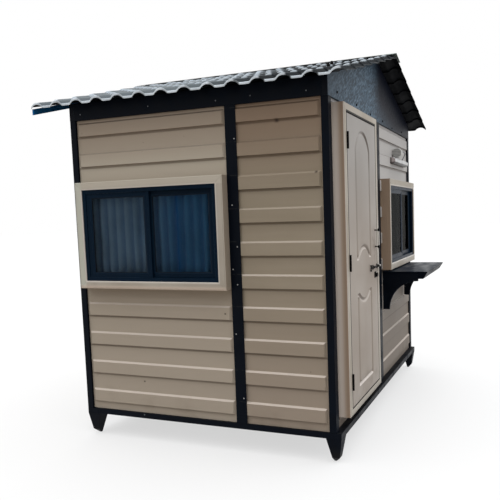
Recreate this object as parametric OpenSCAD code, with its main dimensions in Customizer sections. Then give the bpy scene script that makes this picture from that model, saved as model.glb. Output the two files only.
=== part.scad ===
// Portable office cabin: a steel-framed box with ribbed sheet cladding, one
// hinged door, two sliding windows, a serving counter and a gable roof of
// tile-profile sheets. The front is the gable end with the door, towards -Y.

/* [Cabin] */
// Width across the front, over the corner posts
body_w = 2680; // [2400:20:3600]
// Depth from front to back, over the corner posts
body_d = 2040; // [1960:20:3000]
// Height of the wall panels above the base frame
wall_h = 2200; // [2190:5:2400]
// Depth of a wall from the post face to the inner lining
wall_t = 50; // [40:1:60]

/* [Base] */
// Height of the base beams
beam_h = 40; // [30:1:80]
// Width of the base beams
beam_w = 100; // [80:1:140]
// Ledge of the base in front of the front wall
ledge = 33; // [20:1:60]
// Height of the feet
foot_h = 170; // [80:5:240]
// Width of a foot at its top
foot_top = 110; // [90:1:140]
// Width of the flat that a foot rests on
foot_toe = 14; // [10:1:30]
// Thickness of the floor deck
deck_t = 20; // [12:1:25]
// Width of a floor bearer
bearer_w = 50; // [40:1:60]
// Height of a floor bearer
bearer_h = 60; // [50:1:65]
// Number of floor bearers
bearers = 9; // [6:1:12]

/* [Corner posts and joint strips] */
// Face of a corner post towards the front or back
post_x = 64; // [50:1:80]
// Face of a corner post towards the side
post_y = 50; // [40:1:70]
// Width of a strip that covers a joint between panels
strip_w = 84; // [60:1:100]
// Thickness of a joint strip
strip_t = 3; // [2:0.5:4]
// Middle of the side strips, from the front
side_joint = 696; // [690:1:760]
// Middle of the front strip, from the left corner
front_joint = 1325; // [1290:1:1345]

/* [Cladding] */
// Height from one rib to the next
rib_pitch = 224.5; // [200:0.5:240]
// Height of the raised band of a rib
rib_h = 101; // [80:1:120]
// How far a rib stands out
rib_depth = 14; // [8:1:18]
// Height of the sloping top edge of a rib
rib_fall = 12; // [8:1:16]
// Height of the return under a rib
rib_return = 4; // [2:1:8]
// Height of the lowest rib above the base frame
rib_first = 58; // [40:1:70]
// Flat margin of a panel beside a post or the window bay's joint strip
rib_margin = 12; // [6:1:24]
// Length over which a rib dies away
rib_slant = 14; // [8:1:24]

/* [Roof] */
// Slope of the roof in degrees
pitch = 15.6; // [12:0.1:20]
// Height of the eave beam at its outer face
eave_h = 128; // [100:1:160]
// Thickness of the eave beams
eave_t = 45; // [30:1:50]
// Thickness of the gable boards
gable_t = 40; // [20:1:48]
// Overhang past the side walls
eave_over = 112; // [80:1:200]
// Overhang past the front wall
front_over = 164; // [120:1:220]
// Overhang past the back wall
back_over = 254; // [200:1:320]
// Thickness of the roof sheets
sheet_t = 3; // [2:0.5:5]
// Distance from crest to crest
wave_pitch = 180.5; // [160:0.5:200]
// Height of a crest above its trough
wave_h = 28; // [20:1:34]
// Number of pressed tile courses from eave to ridge
courses = 7; // [5:1:9]
// Height of the step from one course to the next
tile_step = 12; // [6:1:16]
// Width of the arched crest
crest_w = 104; // [90:1:120]
// Distance of the first crest from the front edge
first_crest = 58; // [52:1:80]
// Width of each wing of the ridge cap
cap_w = 150; // [100:1:200]
// Thickness of the ridge cap
cap_t = 3; // [2:0.5:4]
// Height of the barge board under the back edge of the roof
barge_h = 44; // [30:1:60]
// Thickness of the barge board
barge_t = 12; // [6:1:20]
// How far it ends short of the eaves
barge_in = 8; // [6:1:20]
// Width of the ridge beam
ridge_w = 60; // [40:1:80]
// Height of the ridge beam
ridge_h = 100; // [80:1:140]

/* [Door] */
// Width of the door leaf
leaf_w = 762; // [700:1:800]
// Height of the door leaf
leaf_h = 1981; // [1900:1:1990]
// Thickness of the door leaf
leaf_t = 32; // [28:1:36]
// Gap between the leaf and its frame
leaf_gap = 5; // [5:0.5:7]
// Hinge side of the frame opening, from the left corner
door_s = 155; // [140:1:170]
// Foot of the frame opening above the base frame
door_z = 124; // [115:1:130]
// Face width of the jambs and head
jamb_w = 54; // [45:1:60]
// Face height of the sill
sill_h = 44; // [35:1:50]
// How far the frame stands out from the wall
frame_out = 71; // [60:1:80]
// Step of the frame behind the leaf
stop_w = 15; // [12:1:20]
// Width of the two moulded panels
mould_w = 400; // [360:5:440]
// Foot of the upper moulded panel above the foot of the leaf
upper_foot = 991; // [960:1:1020]
// Shoulders of the upper moulded panel above the foot of the leaf
shoulder_z = 1761; // [1700:1:1780]
// Rise of its arched head above the shoulders
arch_h = 140; // [110:1:150]
// Foot of the lower moulded panel above the foot of the leaf
lower_foot = 99; // [80:1:140]
// Top corners of the lower moulded panel above the foot of the leaf
lower_top = 761; // [720:1:800]
// Width of the hump and the dip between the two panels
hump_w = 280; // [240:5:300]
// Rise of the hump in the foot of the upper panel
hump_h = 70; // [50:1:80]
// Drop of the dip in the head of the lower panel
dip_h = 50; // [40:1:70]
// Width of the groove round a moulded panel
groove_w = 22; // [14:1:26]
// Depth of that groove
groove_d = 6; // [3:1:8]

/* [Hinges and door furniture] */
// Height of a hinge
hinge_h = 112; // [100:1:120]
// Outer hinges from the ends of the opening
hinge_end = 130; // [100:5:200]
// Gap between the knuckles
knuckle_gap = 1; // [0.5:0.5:2]
// Radius of the hinge barrels
barrel_r = 7; // [6:0.5:8]
// Radius of the hinge pins
pin_r = 3; // [2.5:0.5:4]
// Play between pin and barrel
pin_play = 0.05; // [0.03:0.01:0.1]
// Thickness of the hinge plates
plate_t = 2; // [1.5:0.5:2]
// Foot of the pull handle above the base frame
handle_z = 1175; // [1100:5:1300]
// Length of the pull handle
handle_l = 155; // [120:5:200]
// Middle of the handle from the lock edge of the leaf
handle_in = 62; // [40:1:90]
// Radius of the handle's bar
handle_r = 7; // [6:0.5:9]
// How far the bar stands off the leaf
handle_reach = 30; // [28:1:38]
// Height of the sliding bolt above the base frame
bolt_z = 1035; // [1000:5:1060]
// Radius of the sliding bolt
bolt_r = 6; // [5:0.5:8]
// Length of the sliding bolt
bolt_l = 226; // [180:2:260]
// Length of the bolt's cross handle
bolt_tee = 52; // [40:2:70]
// Width of a staple that holds the bolt
staple_w = 30; // [20:1:36]
// Height of the staples
staple_h = 36; // [28:1:44]
// Gap between the two staples
staple_gap = 95; // [70:1:110]
// Width of the hasp plate under the bolt
hasp_w = 95; // [70:1:110]
// Height of the hasp plate
hasp_h = 45; // [30:1:60]
// How far the top of the hasp plate lies under the bolt
hasp_drop = 40; // [30:1:60]
// Thickness of the hasp plate
hasp_t = 3; // [2:0.5:5]

/* [Windows] */
// Foot of both window surrounds above the base frame
win_z = 950; // [900:5:1000]
// Height of both window surrounds
win_h = 786; // [740:2:820]
// How far the surrounds stand out from the wall
win_out = 71; // [60:1:80]
// Gap between the side window's surround and the back corner post
side_win_gap = 17; // [5:1:200]
// Gap from the front window's surround to the joint strip and the corner post
front_win_gap = 61; // [5:1:120]
// Face width of the side window's surround
side_lip = 58; // [50:1:65]
// Face width of the front window's surround at its sides
front_lip = 38; // [35:1:65]
// Face height of the surrounds at head and sill
win_lip = 56; // [50:1:60]
// How far the aluminium frame is set back
frame_set = 6; // [4:1:10]
// Depth of the aluminium frame
alu_d = 58; // [54:1:60]
// Face width of the aluminium frame
alu_w = 28; // [24:1:32]
// Face width of the sash stiles
stile_w = 48; // [40:1:54]
// Face height of the sash rails
rail_h = 36; // [30:1:44]
// Thickness of a sash
sash_t = 18; // [16:1:20]
// Overlap of the two sashes
sash_lap = 36; // [30:1:48]
// Thickness of the glass
glass_t = 5; // [4:1:6]
// Space that the gathered curtain takes up
curtain_t = 36; // [26:1:40]
// Gap round that space
curtain_gap = 4; // [3:1:8]
// Gap between the tracks of the two sashes
track_gap = 4; // [3:1:6]

/* [Counter] */
// How far the counter starts to the left of the window surround
counter_lead = 17; // [0:1:40]
// How far it ends short of the surround's right side
counter_short = 188; // [0:2:240]
// How far the counter reaches out
counter_d = 382; // [340:1:420]
// How far the counter top lies below the foot of the window surround
counter_under = 11; // [0:1:50]
// Thickness of the counter board
board_t = 20; // [16:1:25]
// Height of the apron along the outer edge
apron_h = 62; // [50:1:80]
// How far the apron slopes back under the edge
apron_back = 36; // [20:1:44]
// Thickness of the apron
apron_t = 44; // [30:1:50]
// Thickness of a bracket
bracket_t = 25; // [20:1:40]
// Height of a bracket on the wall
bracket_h = 310; // [280:5:340]
// Width of a bracket at its foot
bracket_toe = 54; // [40:1:70]
// Height of the square edge of the counter board
edge_h = 8; // [5:1:14]

/* [Light over the window] */
// Length of the light fitting
lamp_l = 600; // [500:10:780]
// Left end of the light fitting, from the window surround's left side
lamp_in = 366; // [280:2:380]
// Which rib of the cladding carries the light fitting, from the lowest one
lamp_rib = 9; // [8:1:9]
// Foot of the light fitting above the foot of that rib
lamp_up = 36; // [20:2:40]
// Height of the light fitting
lamp_h = 58; // [45:1:60]
// Depth of the light fitting
lamp_d = 45; // [40:1:60]
// Height of the eight-sided switch box above it
box_h = 84; // [70:1:90]
// How far the switch box stands out from the wall
box_d = 70; // [50:1:80]
// Cut of its corners
box_cut = 24; // [16:1:26]
// Width of the switch box
box_w = 60; // [50:5:80]
// Left side of the switch box, from the left end of the fitting
box_in = 150; // [100:1:200]

/* [Hidden] */
$fn = 48;
eps = 1;
fit_gap = 0.3;
y_front = (max(counter_d, front_over) - body_d - back_over) / 2;
z_wall = foot_h + beam_h;
face_set = strip_t;
rise = tan(pitch);
seat_z = wall_h + eave_h + fit_gap;
sill_top = bearer_h + deck_t;
open_w = leaf_w + 2 * leaf_gap;
open_h = leaf_h + 2 * leaf_gap;
frame_w = open_w + 2 * jamb_w;
frame_h = open_h + jamb_w + sill_h;
frame_s = door_s - jamb_w;
frame_z = door_z - sill_h;
hinge_s = door_s + leaf_gap / 2;
hinge_d = -frame_out - barrel_r - fit_gap;
leaf_s = door_s + leaf_gap;
leaf_z = door_z + leaf_gap;
leaf_mid = leaf_s + leaf_w / 2;
side_win_s = side_joint + strip_w / 2;
side_win_w = body_d - post_y - side_win_gap - side_win_s;
front_win_s = front_joint + strip_w / 2 + front_win_gap;
front_win_w = body_w - post_x - front_win_gap - front_win_s;
counter_s = front_win_s - counter_lead;
counter_w = counter_lead + front_win_w - counter_short;
counter_z = win_z - counter_under;
lamp_s = front_win_s + lamp_in;
lamp_foot = rib_first + (lamp_rib - 1) * rib_pitch;
lamp_z = lamp_foot + lamp_up;
box_s = lamp_s + box_in;
box_z = lamp_foot + max(rib_h, lamp_up + lamp_h) + fit_gap;
roof_len = body_d + front_over + back_over;
slope_len = (body_w / 2 + eave_over) / cos(pitch);

// Wall frames: x runs along the wall from the front or left corner, y is the
// depth behind the face of the corner posts, z is the height above the base.
module front() translate([-body_w / 2, y_front, z_wall]) children();
module back() translate([-body_w / 2, y_front + body_d, z_wall]) mirror([0, 1, 0]) children();
module left() translate([-body_w / 2, y_front, z_wall]) mirror([1, -1, 0]) children();
module right() mirror([1, 0, 0]) left() children();

module slab(x, y, z) translate([x[0], y[0], z[0]]) cube([x[1] - x[0], y[1] - y[0], z[1] - z[0]]);

// Base frame and feet ---------------------------------------------------

module foot_outline() polygon([
    [0, 0], [foot_top, 0], [foot_top / 2 + foot_toe, -foot_h], [foot_top / 2, -foot_h],
    [foot_top / 5, -foot_h * 4 / 5]
]);

// One tapered foot below the corner at the origin, with its toe mitred.
module foot() color("#1b2024") intersection() {
    rotate([90, 0, 0]) translate([0, 0, -foot_top]) linear_extrude(foot_top) foot_outline();
    rotate([90, 0, 90]) linear_extrude(foot_top) foot_outline();
}

module foot_at(x, y) translate([x * body_w / 2, 0, foot_h]) mirror([x > 0 ? 1 : 0, 0, 0])
    translate([0, y > 0 ? y_front + body_d : y_front - ledge, 0]) mirror([0, y > 0 ? 1 : 0, 0]) foot();

module foot_front_left() foot_at(-1, -1);
module foot_front_right() foot_at(1, -1);
module foot_back_left() foot_at(-1, 1);
module foot_back_right() foot_at(1, 1);

module base_beam_front() color("#20262b")
    front() slab([0, body_w], [-ledge, beam_w], [-beam_h, 0]);
module base_beam_back() color("#20262b")
    back() slab([0, body_w], [0, beam_w], [-beam_h, 0]);
module base_beam_left() color("#20262b")
    left() slab([beam_w, body_d - beam_w], [0, beam_w], [-beam_h, 0]);
module base_beam_right() color("#20262b")
    right() slab([beam_w, body_d - beam_w], [0, beam_w], [-beam_h, 0]);

module floor_bearers() color("#2a2f33") front() {
    bearer_run = body_w - 2 * wall_t - bearer_w;
    for (i = [0 : bearers - 1]) {
        x = wall_t + i * bearer_run / (bearers - 1);
        slab([x, x + bearer_w], [wall_t, body_d - wall_t], [0, bearer_h]);
    }
}

module floor_deck() color("#6d6a64")
    front() slab([wall_t, body_w - wall_t], [wall_t, body_d - wall_t], [bearer_h, sill_top]);

// Posts and strips ------------------------------------------------------

module corner_post() color("#14181d") slab([0, post_x], [0, post_y], [0, wall_h]);
module corner_post_front_left() front() corner_post();
module corner_post_front_right() mirror([1, 0, 0]) front() corner_post();
module corner_post_back_left() back() corner_post();
module corner_post_back_right() mirror([1, 0, 0]) back() corner_post();

module strip(s) slab([s - strip_w / 2, s + strip_w / 2], [0, strip_t], [0, wall_h]);
module joint_strips() color("#14181d") {
    left() strip(side_joint);
    right() strip(side_joint);
    front() strip(front_joint);
    back() strip(body_w / 2);
}

// Ribbed wall panels ----------------------------------------------------

ribs = floor((wall_h - rib_first - rib_h) / rib_pitch) + 1;
recess = face_set + rib_depth;
function rib(z) = [
    [recess, z], [face_set, z + rib_return], [face_set, z + rib_h - rib_fall], [recess, z + rib_h]
];
cladding_outline = concat(
    [[wall_t, 0], [recess, 0]],
    [for (i = [0 : ribs - 1], p = rib(rib_first + i * rib_pitch)) p],
    [[recess, wall_h], [wall_t, wall_h]]
);

// Takes the ribs off the first end of a panel, over a margin of this width.
module rib_end(margin) translate([0, 0, -eps]) linear_extrude(wall_h + 2 * eps) polygon([
    [-eps, face_set - eps], [-eps, recess], [margin, recess],
    [margin + rib_slant * (rib_depth + eps) / rib_depth, face_set - eps]
]);

// A panel between two places on its wall, with the flat margin at each of its ends.
module panel(s, flat = [rib_margin, rib_margin], z = [0, wall_h]) color("#b9a897") difference() {
    intersection() {
        translate([s[0], 0, 0]) rotate([90, 0, 90]) linear_extrude(s[1] - s[0]) polygon(cladding_outline);
        slab([s[0] - eps, s[1] + eps], [0, wall_t + eps], z);
    }
    if (flat[0] > 0) translate([s[0], 0, 0]) rib_end(flat[0]);
    if (flat[1] > 0) translate([s[1], 0, 0]) mirror([1, 0, 0]) rib_end(flat[1]);
}

module left_wall_front_bay() left() panel([post_y, side_joint], [rib_margin, 0]);
module left_wall_window_bay() left() difference() {
    panel([side_joint, body_d - post_y], [strip_w / 2 + rib_margin, rib_margin]);
    slab([side_win_s, side_win_s + side_win_w], [-eps, wall_t + eps], [win_z, win_z + win_h]);
}
module right_wall() right() panel([post_y, body_d - post_y]);
module back_wall() back() panel([post_x, body_w - post_x]);
module front_wall_hinge_side() front() panel([post_x, frame_s], [frame_s - post_x, 0]);
module front_wall_over_door() front()
    panel([frame_s, frame_s + frame_w], [0, 0], [frame_z + frame_h, wall_h]);
module front_wall_under_door() front() panel([frame_s, frame_s + frame_w], [0, 0], [0, frame_z]);
module front_wall_lock_side() front() panel([frame_s + frame_w, front_joint], [0, 0]);
module front_wall_window_bay() front() difference() {
    panel([front_joint, body_w - post_x], [0, rib_margin]);
    slab([front_win_s, front_win_s + front_win_w], [-eps, wall_t + eps], [win_z, win_z + win_h]);
}

// Door ------------------------------------------------------------------

module door_frame() color("#c9b8a6") front() difference() {
    slab([frame_s, frame_s + frame_w], [-frame_out, wall_t], [frame_z, frame_z + frame_h]);
    slab([door_s, door_s + open_w], [-frame_out - eps, -frame_out + leaf_t + leaf_gap], [door_z, door_z + open_h]);
    slab([door_s + stop_w, door_s + open_w - stop_w], [-frame_out, wall_t + eps],
         [door_z + stop_w, door_z + open_h - stop_w]);
}

// Outlines of the two moulded panels above the foot of the leaf, drawn smaller
// by the inset. The upper one has an arched head and a hump in its foot, the
// lower one a dip in its head.
function arc_r(chord, sag) = (chord * chord / 4 + sag * sag) / (2 * sag);
head_r = arc_r(mould_w, arch_h);
head_mid = shoulder_z + arch_h - head_r;
hump_r = arc_r(hump_w, hump_h);
dip_r = arc_r(hump_w, dip_h);

module upper_outline(inset) difference() {
    intersection() {
        translate([-mould_w / 2 + inset, upper_foot + inset]) square([mould_w - 2 * inset, leaf_h]);
        union() {
            translate([0, head_mid]) circle(head_r - inset, $fn = 96);
            translate([-mould_w, 0]) square([2 * mould_w, head_mid]);
        }
    }
    translate([0, upper_foot + hump_h - hump_r]) circle(hump_r + inset, $fn = 96);
}

module lower_outline(inset) difference() {
    translate([-mould_w / 2 + inset, lower_foot + inset])
        square([mould_w - 2 * inset, lower_top - lower_foot - 2 * inset]);
    translate([0, lower_top - dip_h + dip_r]) circle(dip_r + inset, $fn = 96);
}

module groove() for (i = [0, 1]) linear_extrude(groove_d + eps) difference() {
    if (i == 0) upper_outline(0); else lower_outline(0);
    if (i == 0) upper_outline(groove_w); else lower_outline(groove_w);
}

module door_leaf() color("#c6b8aa") front() difference() {
    slab([leaf_s, leaf_s + leaf_w], [-frame_out, -frame_out + leaf_t], [leaf_z, leaf_z + leaf_h]);
    translate([leaf_mid, -frame_out + groove_d, leaf_z]) rotate([90, 0, 0]) groove();
}

hinge_places = [door_z + hinge_end, leaf_z + (leaf_h - hinge_h) / 2, door_z + open_h - hinge_end - hinge_h];
knuckle_h = (hinge_h - 2 * knuckle_gap) / 3;

module hinge_place() front() for (z = hinge_places) translate([hinge_s, hinge_d, z]) children();

module hinges_on_frame() color("#23201d") hinge_place() {
    cylinder(h = hinge_h, r = pin_r);
    for (z = [0, hinge_h - knuckle_h]) translate([0, 0, z]) {
        cylinder(h = knuckle_h, r = barrel_r);
        translate([-leaf_gap / 2, 0, 0]) cube([plate_t, leaf_t, knuckle_h]);
    }
}

module hinges_on_leaf() color("#23201d") hinge_place() translate([0, 0, knuckle_h + knuckle_gap]) difference() {
    union() {
        cylinder(h = knuckle_h, r = barrel_r);
        translate([leaf_gap / 2 - plate_t, 0, 0]) cube([plate_t, leaf_t, knuckle_h]);
    }
    translate([0, 0, -eps]) cylinder(h = knuckle_h + 2 * eps, r = pin_r + pin_play);
}

post_r = handle_r * 0.75;
module door_handle() color("#8d8a86") front() translate([leaf_s + leaf_w - handle_in, -frame_out, handle_z]) {
    for (z = [2 * handle_r, handle_l - 2 * handle_r])
        translate([0, 0, z]) rotate([90, 0, 0]) cylinder(h = handle_reach, r = post_r);
    translate([0, -handle_reach, 0]) cylinder(h = handle_l, r = handle_r);
}

// The bolt is drawn back, so its end lies just inside the leaf's lock edge.
bolt_end = leaf_s + leaf_w - leaf_gap;
bolt_out = bolt_r + hasp_t;
staple_s = bolt_end - 2 * staple_w - staple_gap;
module door_bolt() color("#23201d") front() {
    for (s = [staple_s, bolt_end - staple_w])
        slab([s, s + staple_w], [-frame_out - 2 * bolt_out, -frame_out],
             [bolt_z - staple_h / 2, bolt_z + staple_h / 2]);
    translate([bolt_end - bolt_l, -frame_out - bolt_out, bolt_z]) {
        rotate([0, 90, 0]) cylinder(h = bolt_l, r = bolt_r);
        translate([0, 0, -bolt_tee / 2]) cylinder(h = bolt_tee, r = bolt_r);
    }
    slab([bolt_end - hasp_w, bolt_end], [-frame_out - hasp_t, -frame_out],
         [bolt_z - hasp_drop - hasp_h, bolt_z - hasp_drop]);
}

keeper_s = door_s + open_w + leaf_gap;
module bolt_keeper() color("#23201d") front() difference() {
    slab([keeper_s, keeper_s + staple_w], [-frame_out - 2 * bolt_out, -frame_out],
         [bolt_z - staple_h / 2, bolt_z + staple_h / 2]);
    translate([keeper_s - eps, -frame_out - bolt_out, bolt_z]) rotate([0, 90, 0])
        cylinder(h = staple_w + 2 * eps, r = bolt_r + 1);
}

// Windows ---------------------------------------------------------------

module ring(w, h, side, ends, d) difference() {
    slab([0, w], d, [0, h]);
    slab([side, w - side], [d[0] - eps, d[1] + eps], [ends, h - ends]);
}

module surround(w, lip) color("#c9b8a6") ring(w, win_h, lip, win_lip, [-win_out, wall_t]);

alu_front = -win_out + frame_set;
sash_in = (alu_d - 2 * sash_t - track_gap) / 2;
track = [alu_front + sash_in, alu_front + sash_in + sash_t + track_gap];

module alu_frame(w, lip) color("#10283f") translate([lip, 0, win_lip])
    ring(w - 2 * lip, win_h - 2 * win_lip, alu_w, alu_w, [alu_front, alu_front + alu_d]);

// The sash at the start of the wall runs in the track t, the other in the next.
module sash_pair(w, lip, t) {
    clear_w = w - 2 * lip - 2 * alu_w;
    sash_w = (clear_w + sash_lap) / 2;
    for (i = [0, 1]) translate([lip + alu_w + (i == 0 ? 0 : clear_w - sash_w), track[i == 0 ? t : 1 - t],
                                win_lip + alu_w])
        children(0);
}

function sash_size(w, lip) = [(w - 2 * lip - 2 * alu_w + sash_lap) / 2, win_h - 2 * win_lip - 2 * alu_w];

module sashes(w, lip, t) color("#10283f") {
    size = sash_size(w, lip);
    sash_pair(w, lip, t) ring(size[0], size[1], stile_w, rail_h, [0, sash_t]);
}

module panes(w, lip, t) color("#7d93a6") {
    size = sash_size(w, lip);
    sash_pair(w, lip, t) slab([stile_w, size[0] - stile_w], [(sash_t - glass_t) / 2, (sash_t + glass_t) / 2],
                              [rail_h, size[1] - rail_h]);
}

module side_window() left() translate([side_win_s, 0, win_z]) children();
module front_window() front() translate([front_win_s, 0, win_z]) children();

module side_window_surround() side_window() surround(side_win_w, side_lip);
module side_window_frame() side_window() alu_frame(side_win_w, side_lip);
module side_window_sashes() side_window() sashes(side_win_w, side_lip, 1);
module side_window_glass() side_window() panes(side_win_w, side_lip, 1);
module side_window_curtain() color("#7f8fa0") side_window()
    slab([side_lip + curtain_gap, side_win_w - side_lip - curtain_gap],
         [wall_t - curtain_gap - curtain_t, wall_t - curtain_gap],
         [win_lip + 2 * curtain_gap, win_h - win_lip - fit_gap]);
module front_window_surround() front_window() surround(front_win_w, front_lip);
module front_window_frame() front_window() alu_frame(front_win_w, front_lip);
module front_window_sashes() front_window() sashes(front_win_w, front_lip, 0);
module front_window_glass() front_window() panes(front_win_w, front_lip, 0);

// Counter ---------------------------------------------------------------

module counter_top() color("#1d242b") front() translate([counter_s, 0, counter_z])
    rotate([90, 0, 90]) linear_extrude(counter_w) polygon([
        [face_set, 0], [-counter_d, 0], [-counter_d, -edge_h],
        [apron_back - counter_d, -apron_h], [apron_back + apron_t - counter_d, -apron_h],
        [apron_back + apron_t - counter_d, -board_t], [face_set, -board_t]
    ]);

// A bracket's underside is a quarter circle from the apron to its foot.
arm = counter_d - apron_back - apron_t;
curve_r = arm - bracket_toe;
bracket_top = counter_z - board_t;
module bracket() color("#1d242b") difference() {
    slab([0, bracket_t], [-arm, face_set], [bracket_top - bracket_h, bracket_top]);
    translate([-eps, -arm, bracket_top - bracket_h]) rotate([0, 90, 0])
        cylinder(h = bracket_t + 2 * eps, r = curve_r, $fn = 96);
}

module counter_bracket_left() front() translate([counter_s, 0, 0]) bracket();
module counter_bracket_right() front() translate([counter_s + counter_w - bracket_t, 0, 0]) bracket();

// Light -----------------------------------------------------------------

// Batten on the face of a rib, and a box with cut corners on the flat above the rib.
module light_fitting() color("#e6e4df") front() translate([lamp_s, 0, lamp_z]) rotate([90, 0, 90])
    linear_extrude(lamp_l) polygon([
        [face_set, 0], [-lamp_d / 2, 0], [-lamp_d, lamp_h / 4], [-lamp_d, lamp_h * 3 / 4],
        [-lamp_d / 2, lamp_h], [face_set, lamp_h]
    ]);
module switch_box() color("#a3a19d") front() translate([box_s, 0, box_z]) rotate([90, 0, 90])
    linear_extrude(box_w) polygon([
        [recess - box_cut, 0], [box_cut - box_d, 0], [-box_d, box_cut], [-box_d, box_h - box_cut],
        [box_cut - box_d, box_h], [recess - box_cut, box_h], [recess, box_h - box_cut], [recess, box_cut]
    ]);

// Roof ------------------------------------------------------------------

module eave_beam() color("#161b21") rotate([90, 0, 0]) mirror([0, 0, 1])
    linear_extrude(body_d - 2 * gable_t) polygon([
        [0, 0], [eave_t, 0], [eave_t, eave_h + eave_t * rise], [0, eave_h]
    ]);
module eave_beam_left() translate([-body_w / 2, y_front + gable_t, z_wall + wall_h]) eave_beam();
module eave_beam_right() mirror([1, 0, 0]) eave_beam_left();

module gable() color("#4a5f6e") translate([0, gable_t, 0]) rotate([90, 0, 0]) linear_extrude(gable_t) polygon([
    [0, wall_h], [body_w, wall_h], [body_w, wall_h + eave_h],
    [body_w / 2, wall_h + eave_h + body_w / 2 * rise], [0, wall_h + eave_h]
]);
module gable_board_front() front() gable();
module gable_board_back() back() gable();

ridge_z = z_wall + seat_z + body_w / 2 * rise;
module ridge_beam() color("#23282d") translate([0, y_front + gable_t, ridge_z - fit_gap]) rotate([90, 0, 0])
    mirror([0, 0, 1]) linear_extrude(body_d - 2 * gable_t) polygon([
        [0, 0], [-ridge_w / 2, -ridge_w / 2 * rise], [-ridge_w / 2, -ridge_h],
        [ridge_w / 2, -ridge_h], [ridge_w / 2, -ridge_w / 2 * rise]
    ]);

// Tile-profile sheets: arched crests and flat troughs run up the slope. The sheet
// steps up from one course to the next and ends in such a step at the eave. A
// course lies flatter than the roof.
waves = floor((roof_len - first_crest - crest_w / 2) / wave_pitch) + 1;
crest_r = arc_r(crest_w, wave_h);
tile_tilt = asin(tile_step * courses / slope_len);
tile_run = slope_len / courses * cos(tile_tilt);
tile_pitch = pitch - tile_tilt;

module under_wave(lift, depth) {
    translate([-crest_r, -depth]) square([roof_len + 2 * crest_r, depth + lift]);
    for (i = [0 : waves - 1])
        translate([first_crest + i * wave_pitch, lift + wave_h - crest_r]) circle(crest_r);
}

// Section of the sheet between two heights of its wave line.
module wave_band(low, high) intersection() {
    translate([0, low - eps]) square([roof_len, high - low + wave_h + 2 * eps]);
    difference() {
        under_wave(high, 3 * crest_r);
        under_wave(low, 4 * crest_r);
    }
}

module run_up(length) rotate([90, 0, 90]) linear_extrude(length) children();

// One slope, from the ridge down to the left eave.
module roof_sheet() color("#3c4650") translate([0, y_front - front_over, ridge_z]) rotate([0, -tile_pitch, 0])
    translate([-courses * tile_run, 0, (1 - courses) * tile_step]) for (k = [0 : courses - 1])
        translate([k * tile_run, 0, k * tile_step]) {
            run_up(tile_run + (k < courses - 1 ? sheet_t / 2 : 0)) wave_band(0, sheet_t);
            run_up(sheet_t) wave_band(-tile_step, sheet_t / 2);
        }
module roof_sheet_left() roof_sheet();
module roof_sheet_right() mirror([1, 0, 0]) roof_sheet();

// Cap over the crests of the top courses; it rests on them at its lower edges.
cap_z = ridge_z + (wave_h + sheet_t) / cos(tile_pitch) + cap_w * (rise - tan(tile_pitch)) + fit_gap;
module ridge_cap() color("#4a545d") translate([0, y_front - front_over, cap_z]) rotate([90, 0, 0])
    mirror([0, 0, 1]) linear_extrude(roof_len) polygon([
        [0, 0], [-cap_w, -cap_w * rise], [-cap_w, cap_t - cap_w * rise], [0, cap_t],
        [cap_w, cap_t - cap_w * rise], [cap_w, -cap_w * rise]
    ]);

// Board under the free edge of the back overhang, from eave over ridge to eave.
barge_x = body_w / 2 + eave_over - barge_in;
module barge_board_back() color("#0d4f80")
    translate([0, y_front + body_d + back_over, ridge_z - fit_gap]) rotate([90, 0, 0]) linear_extrude(barge_t)
        polygon([
            [0, 0], [-barge_x, -barge_x * rise], [-barge_x, -barge_x * rise - barge_h], [0, -barge_h],
            [barge_x, -barge_x * rise - barge_h], [barge_x, -barge_x * rise]
        ]);

foot_front_left();
foot_front_right();
foot_back_left();
foot_back_right();
base_beam_front();
base_beam_back();
base_beam_left();
base_beam_right();
floor_bearers();
floor_deck();
corner_post_front_left();
corner_post_front_right();
corner_post_back_left();
corner_post_back_right();
joint_strips();
left_wall_front_bay();
left_wall_window_bay();
right_wall();
back_wall();
front_wall_hinge_side();
front_wall_over_door();
front_wall_under_door();
front_wall_lock_side();
front_wall_window_bay();
door_frame();
door_leaf();
hinges_on_frame();
hinges_on_leaf();
door_handle();
door_bolt();
bolt_keeper();
side_window_surround();
side_window_frame();
side_window_sashes();
side_window_glass();
side_window_curtain();
front_window_surround();
front_window_frame();
front_window_sashes();
front_window_glass();
counter_top();
counter_bracket_left();
counter_bracket_right();
light_fitting();
switch_box();
eave_beam_left();
eave_beam_right();
gable_board_front();
gable_board_back();
ridge_beam();
roof_sheet_left();
roof_sheet_right();
ridge_cap();
barge_board_back();
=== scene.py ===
# Site cabin on four feet: a welded steel frame clad in painted ribbed sheet, with a tile-profile
# roof, a moulded door, two sliding windows and a serving counter. Metres, with +Z up.
import math
import random

import bmesh
import bpy
from mathutils import Matrix, Quaternion, Vector
from mathutils.geometry import interpolate_bezier, tessellate_polygon


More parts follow.
